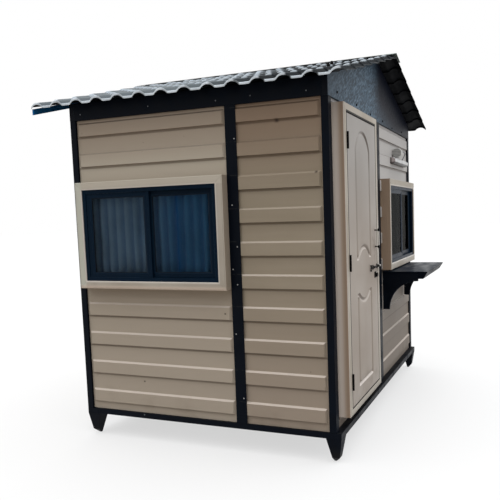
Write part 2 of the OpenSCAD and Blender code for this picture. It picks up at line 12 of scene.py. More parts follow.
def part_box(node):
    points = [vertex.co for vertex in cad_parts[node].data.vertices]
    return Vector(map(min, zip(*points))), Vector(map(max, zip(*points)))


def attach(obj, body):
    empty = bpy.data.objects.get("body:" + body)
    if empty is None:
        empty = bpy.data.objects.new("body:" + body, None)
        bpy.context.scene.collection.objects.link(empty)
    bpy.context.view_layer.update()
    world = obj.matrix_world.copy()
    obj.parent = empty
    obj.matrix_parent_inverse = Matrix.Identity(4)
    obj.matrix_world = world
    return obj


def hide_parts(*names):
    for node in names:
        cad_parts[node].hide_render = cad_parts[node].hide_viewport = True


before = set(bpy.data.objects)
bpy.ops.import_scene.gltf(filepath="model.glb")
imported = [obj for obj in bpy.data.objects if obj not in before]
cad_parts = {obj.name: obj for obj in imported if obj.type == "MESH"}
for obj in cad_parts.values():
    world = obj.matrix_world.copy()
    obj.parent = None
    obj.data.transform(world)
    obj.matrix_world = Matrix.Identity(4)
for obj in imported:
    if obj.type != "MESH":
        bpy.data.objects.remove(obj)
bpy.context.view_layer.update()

# Camera ------------------------------------------------------------------------------------
# Held at head height off the near corner, so that the window side is seen almost square on
# and the door end at a sharp angle. It leans a little, and its lens is a short portrait one.
STAND, LENS, SHIFT = (-5.003, -2.147, 1.664), 43.08, (-0.1, 0.036)
HEADING, DIP, LEAN = (math.radians(angle) for angle in (21.119, -5.118, -1.772))
add_object = bpy.context.scene.collection.objects.link
camera = bpy.data.objects.new("camera", bpy.data.cameras.new("camera"))
add_object(camera)
bpy.context.scene.camera = camera
camera.data.lens = LENS
camera.data.shift_x, camera.data.shift_y = SHIFT
sight = Vector((math.cos(DIP) * math.cos(HEADING), math.cos(DIP) * math.sin(HEADING), math.sin(DIP)))
turn = sight.to_track_quat("-Z", "Y") @ Quaternion((0, 0, 1), LEAN)
camera.matrix_world = Matrix.Translation(STAND) @ turn.to_matrix().to_4x4()

# Studio ------------------------------------------------------------------------------------
# A plain white floor under a sky that is much brighter overhead, and one large soft lamp before
# the door end. Behind the cabin, and in its glass and gloss, the sky shows as plain white.
bpy.context.scene.view_settings.view_transform = "Standard"
WHITE = (1.0, 1.0, 1.0)
SKY_LEVEL, SKY_OVERHEAD = 0.30, 4.4
FLOOR_PAINT, FLOOR_GLOW, FLOOR_BOUNCE, FLOOR_HALF = 0.22, 0.62, (0.25, 0.225, 0.20), 60.0
LAMP_SIZE, LAMP_POWER, LAMP_COLOUR = 4.0, 100.0, (0.80, 0.90, 1.0)
LAMP_PLACE, LAMP_AIM = Vector((1.2, -6.5, 3.2)), Vector((0.0, -0.9, 1.3))


class Shade:
    """A socket of a node tree. Sums, products and powers written on it become Math nodes."""

    def __init__(self, tree, socket=None):
        self.tree, self.socket = tree, socket

    def node(self, kind, settings=None, sockets=None, out=0):
        """Adds a node: its settings first, and then the values or links of its sockets."""
        new = self.tree.nodes.new("ShaderNode" + kind)
        for name, value in (settings or {}).items():
            setattr(new, name, value)
        for name, value in (sockets or {}).items():
            socket = new.inputs[name]
            if isinstance(value, Shade):
                self.tree.links.new(value.socket, socket)
            elif socket.type == "RGBA":
                socket.default_value = (*value, 1.0)
            else:
                socket.default_value = value
        return Shade(self.tree, new.outputs[out] if new.outputs else None)

    def math(self, operation, *values):
        return self.node("Math", {"operation": operation}, dict(enumerate(values)))

    def __add__(self, other): return self.math("ADD", self, other)
    def __sub__(self, other): return self.math("SUBTRACT", self, other)
    def __rsub__(self, other): return self.math("SUBTRACT", other, self)
    def __mul__(self, other): return self.math("MULTIPLY", self, other)
    def __truediv__(self, other): return self.math("DIVIDE", self, other)
    def __pow__(self, other): return self.math("POWER", self, other)
    def __neg__(self): return self.math("SUBTRACT", 0.0, self)
    def __abs__(self): return self.math("ABSOLUTE", self)
    __radd__, __rmul__ = __add__, __mul__

    def least(self, other):
        return self.math("MINIMUM", self, other)

    def most(self, other):
        return self.math("MAXIMUM", self, other)

    def part(self):
        """What is left over a whole number, for anything that comes again at a pitch."""
        return self.math("FRACT", self)

    def axes(self):
        """The three coordinates of a point."""
        split = self.tree.nodes.new("ShaderNodeSeparateXYZ")
        self.tree.links.new(self.socket, split.inputs[0])
        return [Shade(self.tree, out) for out in split.outputs]

    def facing(self):
        """The three coordinates of the way that the surface faces."""
        return self.node("NewGeometry", out="Normal").axes()

    def rise(self, low, high):
        """0 below low, 1 above high, and a soft slope between them."""
        return self.node("MapRange", {"interpolation_type": "SMOOTHSTEP"},
                         {"Value": self, "From Min": low, "From Max": high})

    def near(self, place, reach):
        """1 at a place on an axis, and 0 beyond that reach of it."""
        return 1 - abs(self - place).rise(0.0, reach)

    def mix(self, low, high):
        """The colour that this share picks between two colours."""
        return self.node("Mix", {"data_type": "RGBA"}, {0: self, 6: low, 7: high}, out=2)

    def coated(self, *coats):
        """This colour under further coats. A coat is the share that it covers, and its colour."""
        colour = self
        for share, tone in coats:
            colour = share.mix(colour, tone)
        return colour

    def noise(self, scale, detail=3.0, stretch=(1.0, 1.0, 1.0)):
        """Cloudy noise at a point, with so many swells to a metre."""
        point = self.node("VectorMath", {"operation": "MULTIPLY"}, {0: self, 1: stretch})
        return self.node("TexNoise", None, {"Vector": point, "Scale": scale, "Detail": detail})

    def bump(self, height, strength=1.0):
        return self.node("Bump", None, {"Height": self, "Distance": height, "Strength": strength})


def bare(holder):
    """The emptied node tree of a world or a material."""
    holder.use_nodes = True
    holder.node_tree.nodes.clear()
    return Shade(holder.node_tree)


def picture_rays(nodes):
    """1 for the rays that carry a picture: from the eye, off gloss or through glass."""
    eye, gloss, glass = (nodes.node("LightPath", out=f"Is {kind} Ray")
                         for kind in ("Camera", "Glossy", "Transmission"))
    return eye.most(gloss).most(glass)


bpy.context.scene.world = bpy.data.worlds.new("sky")
sky = bare(bpy.context.scene.world)
up = sky.node("TexCoord", out="Generated").axes()[2]
lit = sky.node("Background", None, {"Strength": SKY_LEVEL + SKY_OVERHEAD * up.most(0.0) ** 2.0})
blank = sky.node("Background", None, {"Color": WHITE, "Strength": 1.0})
lit = sky.node("MixShader", None, {0: picture_rays(sky), 1: lit, 2: blank})
sky.node("OutputWorld", None, {"Surface": lit})

mesh = bpy.data.meshes.new("floor")
mesh.from_pydata([(x * FLOOR_HALF, y * FLOOR_HALF, 0) for x, y in ((-1, -1), (1, -1), (1, 1), (-1, 1))],
                 [], [(0, 1, 2, 3)])
floor = bpy.data.objects.new("floor", mesh)
add_object(floor)
mesh.materials.append(bpy.data.materials.new("floor"))
ground = bare(mesh.materials[0])
pale = ground.node("BsdfDiffuse", None, {"Color": (FLOOR_PAINT,) * 3})
glow = ground.node("Emission", None, {"Color": WHITE, "Strength": FLOOR_GLOW})
pale = ground.node("AddShader", None, {0: pale, 1: glow})
dull = ground.node("BsdfDiffuse", None, {"Color": FLOOR_BOUNCE})
pale = ground.node("MixShader", None, {0: picture_rays(ground), 1: dull, 2: pale})
ground.node("OutputMaterial", None, {"Surface": pale})

lamp = bpy.data.objects.new("lamp", bpy.data.lights.new("lamp", "AREA"))
add_object(lamp)
lamp.data.size, lamp.data.energy, lamp.data.color = LAMP_SIZE, LAMP_POWER, LAMP_COLOUR
lamp.matrix_world = (Matrix.Translation(LAMP_PLACE)
                     @ (LAMP_AIM - LAMP_PLACE).to_track_quat("-Z", "Y").to_matrix().to_4x4())
lamp.visible_glossy = False

# Feet and base frame -----------------------------------------------------------------------
# Steel channel welded into a frame, on four feet folded to a mitred toe, all in blue-black
# enamel. It is worn matt, with a little dust on the ledges and soil splashed on the feet.
BLACK, BLACK_WORN, DUST = (0.0008, 0.0021, 0.0052), (0.0019, 0.0040, 0.0082), (0.022, 0.020, 0.017)
CORNERS = ("front_left", "front_right", "back_left", "back_right")
EDGE, WELD, SHARP = 0.0015, 1e-5, math.radians(25)


def finish(name, surface, specular=0.5, **fixed):
    """A material. From the place on the cabin, its surface gives a colour, a roughness and bumps.
    What is the same all over is fixed."""
    material = bpy.data.materials.new(name)
    material.use_nodes = True
    shader = material.node_tree.nodes["Principled BSDF"]
    for socket, value in {"Specular IOR Level": specular, **fixed}.items():
        shader.inputs[socket.replace("_", " ")].default_value = value
    place = Shade(material.node_tree).node("TexCoord", out="Object")
    for socket, value in zip(("Base Color", "Roughness", "Normal"), surface(place)):
        if isinstance(value, Shade):
            material.node_tree.links.new(value.socket, shader.inputs[socket])
        else:
            shader.inputs[socket].default_value = value
    return material


def dress(paint, *names, edge=EDGE):
    """Gives carried-over pieces their finish and takes the sharpness off their edges."""
    for name in names:
        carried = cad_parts[name]
        for slot in carried.material_slots:
            slot.material = paint
        carried.modifiers.new("weld", "WELD").merge_threshold = WELD
        round_off = carried.modifiers.new("rounded edges", "BEVEL")
        round_off.width, round_off.segments = edge, 2
        round_off.limit_method, round_off.angle_limit = "ANGLE", SHARP
        round_off.harden_normals = True


def enamel(at):
    splashed = at.noise(6.0, 6.0) * (1 - at.axes()[2].rise(0.0, 0.35))
    lying = at.noise(14.0, 5.0) * at.facing()[2].rise(0.5, 0.95) * 0.7
    coat_share = (splashed + lying).rise(0.35, 1.0)
    patch = at.noise(9.0, 5.0).rise(0.45, 0.75)
    return (coat_share.mix(patch.mix(BLACK, BLACK_WORN), DUST), 0.42 + 0.2 * patch + 0.25 * coat_share,
            (at.noise(420.0, 2.0) * 0.3 + at.noise(40.0, 3.0)).bump(0.0006, 0.35))


black_enamel = finish("black_enamel", enamel, specular=0.06)
dress(black_enamel, *(f"foot_{place}" for place in CORNERS),
      *(f"base_beam_{side}" for side in ("front", "back", "left", "right")), edge=0.002)

# Floor -------------------------------------------------------------------------------------
# Bare grey boards screwed down on nine steel bearers, with dark joints between them. They are
# worn paler along the doorway.
BOARD, BOARD_DARK, BOARD_WORN = (0.12, 0.11, 0.095), (0.06, 0.055, 0.048), (0.21, 0.195, 0.175)
BOARD_JOINT, BOARD_WIDTH = (0.02, 0.018, 0.015), 0.215
DOORWAY, DOORWAY_REACH = -0.8, 0.55


def floor_boards(at):
    x, y, _ = at.axes()
    joint = 1 - (x / BOARD_WIDTH + 0.5).part().near(0.5, 0.5).rise(0.0, 0.03)
    grain = at.noise(18.0, 8.0, (8.0, 0.35, 1.0))
    walked = x.near(DOORWAY, DOORWAY_REACH) * (1 - y.rise(-0.9, 0.5)) * at.noise(7.0, 5.0).rise(0.25, 0.7)
    return (grain.mix(BOARD_DARK, BOARD).coated((walked, BOARD_WORN), (joint, BOARD_JOINT)),
            0.62 + 0.25 * grain, (grain * 0.5 - joint * 2.0).bump(0.001, 0.6))


dress(finish("floor_boards", floor_boards), "floor_deck")
dress(black_enamel, "floor_bearers")

# Posts and joint strips --------------------------------------------------------------------
# Square steel posts at the corners and flat black strips over the joints of the cladding. The
# strips are screwed down, and the ribs below press a faint mark into them at each rib, shown as a
# pale line of painted highlight.
RIB_FIRST, RIB_PITCH, RIB_HEIGHT = 0.058, 0.2245, 0.101
STRIP_AT, STRIP_HIGHLIGHT = 0.696, (0.020, 0.021, 0.022)
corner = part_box("corner_post_front_left")[0]


def on_front(s, d, z):
    """A place on the door end: along it, back from the face of its posts, and above its foot."""
    return Vector((corner.x + s, corner.y + d, corner.z + z))


def on_left(s, d, z):
    """The same for the window side, from the near corner."""
    return Vector((corner.x + d, corner.y + s, corner.z + z))


def from_corner(node):
    """The low and high ends of a node's box, measured from the foot of the near corner."""
    return [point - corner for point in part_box(node)]


def piece(name, verts, faces, paint, slot, body="cabin", stands_for=(), crease=35):
    """A mesh that is ridden and painted, smooth up to a crease angle. Its slot is not used."""
    mesh = bpy.data.meshes.new(name)
    mesh.from_pydata([tuple(v) for v in verts], [], faces)
    return shell(name, mesh, paint, slot, body, stands_for, crease)


def shell(name, mesh, paint, slot, body, stands_for, crease):
    """The same from a mesh that is made already."""
    rounded = bmesh.new()
    rounded.from_mesh(mesh)
    bmesh.ops.recalc_face_normals(rounded, faces=rounded.faces)
    rounded.to_mesh(mesh)
    rounded.free()
    mesh.polygons.foreach_set("use_smooth", [True] * len(mesh.polygons))
    mesh.set_sharp_from_angle(angle=math.radians(crease))
    mesh.materials.append(paint)
    made = bpy.data.objects.new(name, mesh)
    add_object(made)
    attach(made, body)
    if stands_for:
        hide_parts(*stands_for)
    return made


def strip_paint(at):
    """Black enamel with a pale line of painted highlight at the height of each rib below."""
    up_rib = ((at.axes()[2] - corner.z - RIB_FIRST) / RIB_PITCH).part()
    pale_share = up_rib.near(RIB_HEIGHT / RIB_PITCH, 0.02) * at.noise(30.0, 4.0).rise(0.4, 0.65)
    return (pale_share.mix(BLACK, STRIP_HIGHLIGHT), *enamel(at)[1:])


dress(black_enamel, *(f"corner_post_{place}" for place in CORNERS), edge=0.003)
dress(finish("strip_enamel", strip_paint, specular=0.06), "joint_strips", edge=0.001)

# Cladding ----------------------------------------------------------------------------------
# Steel sheet rolled into wide level ribs and stove-enamelled in a warm cream, the bay behind the
# window a little paler, and lined with white sheet inside. Painted light makes it paler toward the
# foot and painted eave shade darker at the top, and the door end is painted lighter at the top and
# darker at the foot. Dust and a painted highlight lie on the lower ledges, painted shade on the rib
# undersides, a painted shadow line under each rib and painted eave shade on the top ledges, and a
# few knocks have marked it.
CREAM, CREAM_DEEP, CREAM_STAIN_AND_SHADE = (0.302, 0.258, 0.198), (0.256, 0.215, 0.160), (0.070, 0.047, 0.032)
CREAM_BOUNCE_LIGHT, CREAM_EAVE_SHADE, LEDGE_DUST_AND_HIGHLIGHT = (0.318, 0.262, 0.214), (0.235, 0.168, 0.120), (0.50, 0.44, 0.39)
PALER_BAY, PALE_BAND, KNOCKED = (0.385, 0.335, 0.275), (0.47, 0.43, 0.36), (0.05, 0.036, 0.028)
END_LIT_TOP, END_SHADED_FOOT, LINING = (0.40, 0.385, 0.375), (0.168, 0.141, 0.118), (0.36, 0.35, 0.32)
WALL, RIB_SHADOW_BELOW, RIB_SHADOW_REACH = 0.05, 0.0075, 0.011
KNOCKS = ((0.795, 0.778, 0.012), (1.508, 0.241, 0.012), (0.362, 2.072, 0.026), (0.095, 1.724, 0.016))


def cladding(at):
    x, y, z = at.axes()
    along, in_from_side, up = y - corner.y, x - corner.x, at.facing()[2]
    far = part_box("corner_post_back_right")[1]
    inner = in_from_side.least(far.x - x).least(along).least(far.y - y).rise(WALL - 0.004, WALL - 0.002)
    level = at.noise(2.2, 4.0, (0.5, 0.5, 7.0)).rise(0.25, 0.75)
    cloud = at.noise(1.3, 3.0).rise(0.3, 0.7)
    spot = at.noise(30.0, 2.0).rise(0.76, 0.80)
    low = (1 - z.rise(0.2, 0.5)) * at.noise(7.0, 6.0).rise(0.45, 0.8)
    window_side = 1 - in_from_side.rise(0.06, 0.07)
    rear = along.rise(STRIP_AT, STRIP_AT + 0.001) * window_side
    door_end = (1 - along.rise(0.055, 0.06)) * in_from_side.rise(0.052, 0.056)
    # Painted shade on the rib undersides, and a painted shadow line just below each rib.
    ledge, underside_shade = up.rise(0.35, 0.7), 1 - up.rise(-0.8, -0.4)
    rib_shadow = ((z - corner.z - RIB_FIRST) / RIB_PITCH + 0.5).part()
    rib_shadow = rib_shadow.near(0.5 - RIB_SHADOW_BELOW / RIB_PITCH, RIB_SHADOW_REACH / RIB_PITCH)
    rib_shadow = rib_shadow * (1 - up.rise(0.2, 0.4)) * z.rise(0.3, 0.6)
    colour = (cloud * 0.5 + level * 0.5).mix(CREAM, CREAM_DEEP).coated(
        # Paler toward the foot as painted light, darker at the top as painted eave shade.
        ((1 - z.rise(0.2, 1.5)) * 0.8, CREAM_BOUNCE_LIGHT),
        ((z - rear * 0.05).rise(1.75, 2.42) * 0.9, CREAM_EAVE_SHADE),
        (rear * (0.75 - 0.2 * z.rise(2.15, 2.35)), PALER_BAY),
        (rear * z.near(2.04, 0.16) * 0.5, PALE_BAND),
        # The door end is painted lighter at the top and darker at the foot, as light and shade.
        (door_end * 0.9, z.rise(0.5, 2.1).mix(END_SHADED_FOOT, END_LIT_TOP)),
        # Dust and a painted highlight on the lower ledges.
        (ledge * (1 - z.rise(0.9, 2.1)) * 0.8, LEDGE_DUST_AND_HIGHLIGHT),
        # Stains and dirt low down, and the painted shade under the ribs.
        (spot * 0.35 + low * 0.15 + underside_shade * 0.4 + rib_shadow * 0.5, CREAM_STAIN_AND_SHADE),
        # Painted eave shade on the upper ledges.
        (ledge * z.rise(1.9, 2.3) * 0.5, CREAM_STAIN_AND_SHADE))
    for place, height, reach in KNOCKS:
        mark = along.near(place, reach) * (z - corner.z).near(height, reach * 0.8)
        colour = (mark * window_side).mix(colour, KNOCKED)
    dents = at.noise(2.2, 2.0, (1.0, 1.0, 2.0)) + at.noise(300.0, 1.0) * 0.01
    return inner.mix(colour, LINING), 0.46 + 0.1 * cloud + 0.15 * low, dents.bump(0.004, 0.25)


cream_enamel = finish("cream_enamel", cladding, specular=0.12)
dress(cream_enamel, "left_wall_front_bay", "left_wall_window_bay", "right_wall", "back_wall",
      "front_wall_hinge_side", "front_wall_over_door", "front_wall_under_door", "front_wall_lock_side",
      "front_wall_window_bay", edge=0.0012)

# Door frame --------------------------------------------------------------------------------
# Pressed cream sheet in four mitred lengths, screwed through the cladding. Its face stands proud
# of the wall, with a rebate for the leaf inside it. Its side faces carry painted shade, browner and
# paler toward the wall; its outer arris carries a painted highlight, and its rebate is painted dark
# as the shade of the door gap. The window boxes are made of the same sheet, and are paler on their
# heads and rims; the rims are partly a painted highlight, and the returns that face the door end
# carry painted shade.
TRIM, TRIM_DEEP, TRIM_STREAK = (0.400, 0.365, 0.315), (0.335, 0.297, 0.247), (0.11, 0.08, 0.06)
BOX_HEAD, BOX_FAR, BOX_FOOT = (0.47, 0.43, 0.365), (0.48, 0.49, 0.43), (0.57, 0.46, 0.38)
BOX_FLANK_SHADE, BOX_RIM = (0.27, 0.226, 0.178), (0.60, 0.56, 0.52)
FLANK_SHADE, FLANK_SHADE_PALE = (0.265, 0.195, 0.142), (0.56, 0.50, 0.45)
ARRIS_HIGHLIGHT, GAP_SHADE = (0.52, 0.47, 0.43), (0.012, 0.009, 0.007)
JAMB, SILL, REBATE, STOP, FOLD = 0.054, 0.044, 0.037, 0.015, 0.0018
SIDE_LIP, FRONT_LIP, HEAD_LIP = 0.058, 0.038, 0.056


def tube_faces(rings, around, start=0):
    """Faces round a form of so many rings of so many points, with both its ends closed."""
    last = start + (rings - 1) * around
    sides = [(ring + i, ring + (i + 1) % around, ring + around + (i + 1) % around, ring + around + i)
             for ring in range(start, last, around) for i in range(around)]
    return sides + [tuple(range(start, start + around)), tuple(reversed(range(last, last + around)))]


def mitred(name, at, foot, size, section, paint, slot, seam=0.0006, **more):
    """Four mitred lengths round a rectangle. Each point of the section gives its inset (or one for
    the sides and one for the ends, or one for the sides, head and foot), and then its depth."""
    verts, faces = [], []
    corners = [(0, 0), (1, 0), (1, 1), (0, 1)]
    for side in range(4):
        faces += tube_faces(2, len(section), len(verts))
        first, last = corners[side], corners[(side + 1) % 4]
        for (right, top), other in ((first, last), (last, first)):
            for along, *ends, depth in section:
                head, sill = (ends or [along])[0], (ends or [along])[-1]
                s = foot[0] + right * size[0] + (-along if right else along) + (other[0] - right) * seam / 2
                z = foot[1] + top * size[1] + (-head if top else sill) + (other[1] - top) * seam / 2
                verts.append(at(s, depth, z))
    return piece(name, verts, faces, paint, slot, **more)


def pressed_trim(at):
    x, y, z = at.axes()
    facing, in_from_side = at.facing(), x - corner.x
    cloud = at.noise(2.2, 4.0).rise(0.3, 0.7)
    streak = at.noise(12.0, 5.0, (1.0, 1.0, 0.15)).rise(0.55, 0.85)
    door_low, door_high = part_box("door_frame")
    box_low, box_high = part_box("side_window_surround")
    on_door_end = in_from_side.rise(0.03, 0.05)
    on_side = 1 - on_door_end
    near_door = 1 - x.rise(door_high.x + 0.01, door_high.x + 0.02)
    # The side faces on the door end carry painted shade, browner, and paler toward the wall.
    flank_shade = ((y - corner.y).rise(-0.055, -0.005) * near_door).mix(FLANK_SHADE, FLANK_SHADE_PALE)
    rim_side = (y - box_low.y - SIDE_LIP).least(box_high.y - SIDE_LIP - y)
    rim_ends = (z - box_low.z - HEAD_LIP).least(box_high.z - HEAD_LIP - z)
    rim_front = (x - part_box("front_window_surround")[0].x - FRONT_LIP).least(rim_ends)
    # A pale rim along the inner edge of the window boxes, partly paler paint and partly a painted
    # highlight.
    rim = (rim_side.least(rim_ends).near(0.0, 0.014) * on_side
           + rim_front.near(0.0, 0.016) * on_door_end * x.rise(0.0, 0.05))
    far = (y - box_high.y + SIDE_LIP).rise(-0.01, 0.02)
    head = (z - box_high.z + HEAD_LIP).rise(-0.005, 0.005)
    foot = 1 - (z - box_low.z).rise(0.010, 0.035)
    # A painted highlight along the frame's outer arris.
    outer_arris = x.near(door_low.x, 0.005) * (1 - (y - door_low.y).rise(0.004, 0.006))
    # The rebate in the door opening is painted dark as the shade of the gap.
    opening = ((x - door_low.x).least(door_high.x - x).rise(JAMB - 0.003, JAMB - 0.001)
               * (z - door_low.z).least(door_high.z - z).rise(SILL - 0.003, SILL - 0.001))
    colour = cloud.mix(TRIM, TRIM_DEEP).coated(
        (streak * 0.15, TRIM_STREAK),
        ((-facing[0]).rise(0.5, 0.8) * on_door_end, flank_shade),
        (head * on_side * 0.85, BOX_HEAD),
        (far * on_side * 0.85, BOX_FAR),
        (foot * on_side * 0.6, BOX_FOOT),
        # Painted shade on the box returns that face the door end.
        ((-facing[1]).rise(0.5, 0.8) * on_side * 0.85, BOX_FLANK_SHADE),
        (rim * 0.9, BOX_RIM),
        (outer_arris, ARRIS_HIGHLIGHT),
        (opening * (1 - (y - door_low.y).rise(0.045, 0.05)), GAP_SHADE))
    dents = at.noise(3.0, 2.0) + at.noise(260.0, 1.0) * 0.01
    return colour, 0.4 + 0.15 * cloud, dents.bump(0.003, 0.25)


cream_trim = finish("cream_trim", pressed_trim, specular=0.12)
low, high = from_corner("door_frame")
out, depth = low.y, high.y
jamb_section = [(0, depth), (0, out + FOLD), (FOLD / 3, out + FOLD / 3), (FOLD, out)]
jamb_section += [(JAMB + reach, JAMB + reach, SILL + reach, d) for reach, d in (
    (-FOLD, out), (-FOLD / 3, out + FOLD / 3), (0, out + FOLD), (0, out + REBATE),
    (STOP, out + REBATE), (STOP, depth))]
mitred("door_frame_lengths", on_front, (low.x, low.z), (high.x - low.x, high.z - low.z), jamb_section,
       cream_trim, "trim_sheet", stands_for=("door_frame",))

# Door leaf ---------------------------------------------------------------------------------
# A hollow moulded leaf: two pressed skins with an arched upper and a dipped lower panel, each
# inside a soft sunk moulding. Its paint is a little paler and shinier than the walls'. The slopes
# that face up are rubbed paler and carry a painted highlight, painted shade lies on those that hang
# and on the right of the arch, the top is painted greyer as skylight, and a dark line painted round
# the edge stands for the shade of the gap.
SKIN, SKIN_SHADE, SKIN_SKYLIT = (0.322, 0.280, 0.243), (0.262, 0.220, 0.185), (0.290, 0.280, 0.270)
SLOPE_WEAR_AND_HIGHLIGHT, SLOPE_SHADE, ARCH_SHADE = (0.62, 0.57, 0.53), (0.11, 0.085, 0.07), (0.10, 0.075, 0.06)
HAND_GRIME = (0.10, 0.075, 0.055)
LEAF_ROUND, FLAT_EDGE, ARC_STEP, STRAIGHT_STEP, EDGE_STEP = 0.003, 0.004, 0.010, 0.03, 0.2
MOULD_HALF, UPPER_FOOT, SHOULDER, ARCH, LOWER_FOOT, LOWER_TOP = 0.2, 0.991, 1.761, 0.140, 0.099, 0.761
HUMP_HALF, HUMP, DIP = 0.14, 0.07, 0.05
MOULDING = ((0, 0), (0.002, 0.0008), (0.006, 0.0040), (0.012, 0.0085), (0.017, 0.0105), (0.021, 0.0100),
            (0.026, 0.0065), (0.031, 0.0028), (0.036, 0.0008), (0.042, 0.0))


def arc_over(half, sag):
    """The radius of an arc with this half width and sag."""
    return (half * half + sag * sag) / (2 * sag)


def bow(half, level, sag, leftward=True):
    """Points of an arc that rises from a level, or sags where it is below 0. Without the last."""
    radius, way = arc_over(half, abs(sag)), math.copysign(1, sag)
    turn, middle = math.acos(half / radius), level + sag - way * radius
    first, last = (turn, math.pi - turn) if leftward else (math.pi - turn, turn)
    count = max(3, int(abs(last - first) * radius / ARC_STEP))
    angles = [first + (last - first) * i / count for i in range(count)]
    return [Vector((radius * math.cos(a), middle + way * radius * math.sin(a))) for a in angles]


def straight(*corners, step=STRAIGHT_STEP):
    """Points along straight lines from each corner to the next, without the last."""
    points = []
    for a, b in zip(map(Vector, corners), map(Vector, corners[1:])):
        count = max(1, int((b - a).length / step))
        points += [a + (b - a) * i / count for i in range(count)]
    return points


def offset(outline, inset):
    """The outline drawn smaller: each point moves in along the mean of its two sides' normals."""
    moved = []
    for i, point in enumerate(outline):
        before, after = point - outline[i - 1], outline[(i + 1) % len(outline)] - point
        normals = [Vector((-side.y, side.x)).normalized() for side in (before, after)]
        mean = (normals[0] + normals[1]).normalized()
        moved.append(point + mean * inset / max(0.35, mean.dot(normals[0])))
    return moved


upper_panel = (straight((MOULD_HALF, UPPER_FOOT), (MOULD_HALF, SHOULDER)) + bow(MOULD_HALF, SHOULDER, ARCH)
               + straight((-MOULD_HALF, SHOULDER), (-MOULD_HALF, UPPER_FOOT), (-HUMP_HALF, UPPER_FOOT))
               + bow(HUMP_HALF, UPPER_FOOT, HUMP, leftward=False)
               + straight((HUMP_HALF, UPPER_FOOT), (MOULD_HALF, UPPER_FOOT)))
lower_panel = (straight((MOULD_HALF, LOWER_FOOT), (MOULD_HALF, LOWER_TOP), (HUMP_HALF, LOWER_TOP))
               + bow(HUMP_HALF, LOWER_TOP, -DIP)
               + straight((-HUMP_HALF, LOWER_TOP), (-MOULD_HALF, LOWER_TOP), (-MOULD_HALF, LOWER_FOOT),
                          (MOULD_HALF, LOWER_FOOT)))


def moulded_leaf(name, node, paint, slot, body):
    """A slab with rounded edges and the two mouldings sunk into its outer face."""
    low, high = from_corner(node)
    middle, half = (low.x + high.x) / 2, (high.x - low.x) / 2
    tall, thick = high.z - low.z, high.y - low.y
    leaf = bmesh.new()

    def loop(outline, depth):
        return [leaf.verts.new(on_front(middle + p.x, low.y + depth, low.z + p.y)) for p in outline]

    def skirts(rings):
        """Strips of faces from each ring to the next."""
        for ring, inner in zip(rings, rings[1:]):
            for i in range(len(ring)):
                j = (i + 1) % len(ring)
                leaf.faces.new((ring[i], ring[j], inner[j], inner[i]))

    def field(*rings):
        """A flat face inside the first ring, with the others as holes."""
        on_rings = [vert for ring in rings for vert in ring]
        for side in tessellate_polygon([[vert.co.xzy for vert in ring] for ring in rings]):
            leaf.faces.new([on_rings[i] for i in side])

    edge = straight((half, 0), (half, tall), (-half, tall), (-half, 0), (half, 0), step=EDGE_STEP)
    arris = LEAF_ROUND * 0.3
    slab = [loop(offset(edge, inset), depth) for inset, depth in (
        (LEAF_ROUND, thick), (arris, thick - arris), (0, thick - LEAF_ROUND), (0, LEAF_ROUND),
        (arris, arris), (LEAF_ROUND, 0), (LEAF_ROUND + FLAT_EDGE, 0))]
    skirts(slab)
    leaf.faces.new(slab[0])
    borders = [slab[-1]]
    for outline in (upper_panel, lower_panel):
        sunk = [loop(offset(outline, inset), depth) for inset, depth in ((-FLAT_EDGE, 0), *MOULDING)]
        skirts(sunk)
        field(sunk[-1])
        borders.append(sunk[0])
    field(*borders)
    mesh = bpy.data.meshes.new(name)
    leaf.to_mesh(mesh)
    leaf.free()
    return shell(name, mesh, paint, slot, body, (node,), 30)


def door_paint(at):
    x, _, z = at.axes()
    low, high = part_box("door_leaf")
    facing = at.facing()
    cloud = at.noise(2.0, 4.0).rise(0.3, 0.7)
    streak = at.noise(14.0, 5.0, (1.0, 1.0, 0.1)).rise(0.5, 0.85)
    hand = z.near(1.45, 0.25) * x.near(-0.5, 0.14) * at.noise(22.0, 5.0).rise(0.4, 0.8)
    foot = (1 - z.rise(0.34, 0.62)) * at.noise(9.0, 6.0).rise(0.4, 0.8)
    # Up-facing slopes rubbed paler and given a painted highlight; painted shade on the slopes that hang and
    # on the right of the arch.
    rubbed = facing[2].rise(0.15, 0.45) * (1 - z.rise(1.38, 1.5)) * (0.8 - 0.45 * z.rise(0.7, 1.0))
    hanging_shade = (-facing[2]).rise(0.12, 0.4) * z.near(1.22, 0.35)
    arch = ((1 - (-facing[1]).rise(0.85, 0.98)) * z.rise(1.93, 2.08)
            * x.rise(-0.82, -0.74) * x.near(-0.70, 0.20))
    # A dark line painted round the leaf's edge as the shade of the gap.
    gap_shade = 1 - (x - low.x).least(high.x - x).least((z - low.z).least(high.z - z)).rise(0.003, 0.0055)
    colour = (cloud * 0.5 + streak * 0.2).mix(SKIN, SKIN_SHADE).coated(
        # The top of the leaf painted greyer as skylight.
        (z.rise(1.3, 2.2) * 0.7, SKIN_SKYLIT),
        (hanging_shade * 0.7, SLOPE_SHADE),
        (arch * 0.75, ARCH_SHADE),
        (rubbed, SLOPE_WEAR_AND_HIGHLIGHT),
        (hand * 0.4 + foot * 0.4, HAND_GRIME),
        (gap_shade, GAP_SHADE))
    dents = at.noise(3.0, 2.0) + at.noise(240.0, 1.0) * 0.02
    return colour, 0.4 + 0.12 * cloud + 0.2 * hand, dents.bump(0.004, 0.4)


moulded_leaf("door_skins", "door_leaf", finish("door_paint", door_paint, specular=0.12),
             "door_skin", "door")

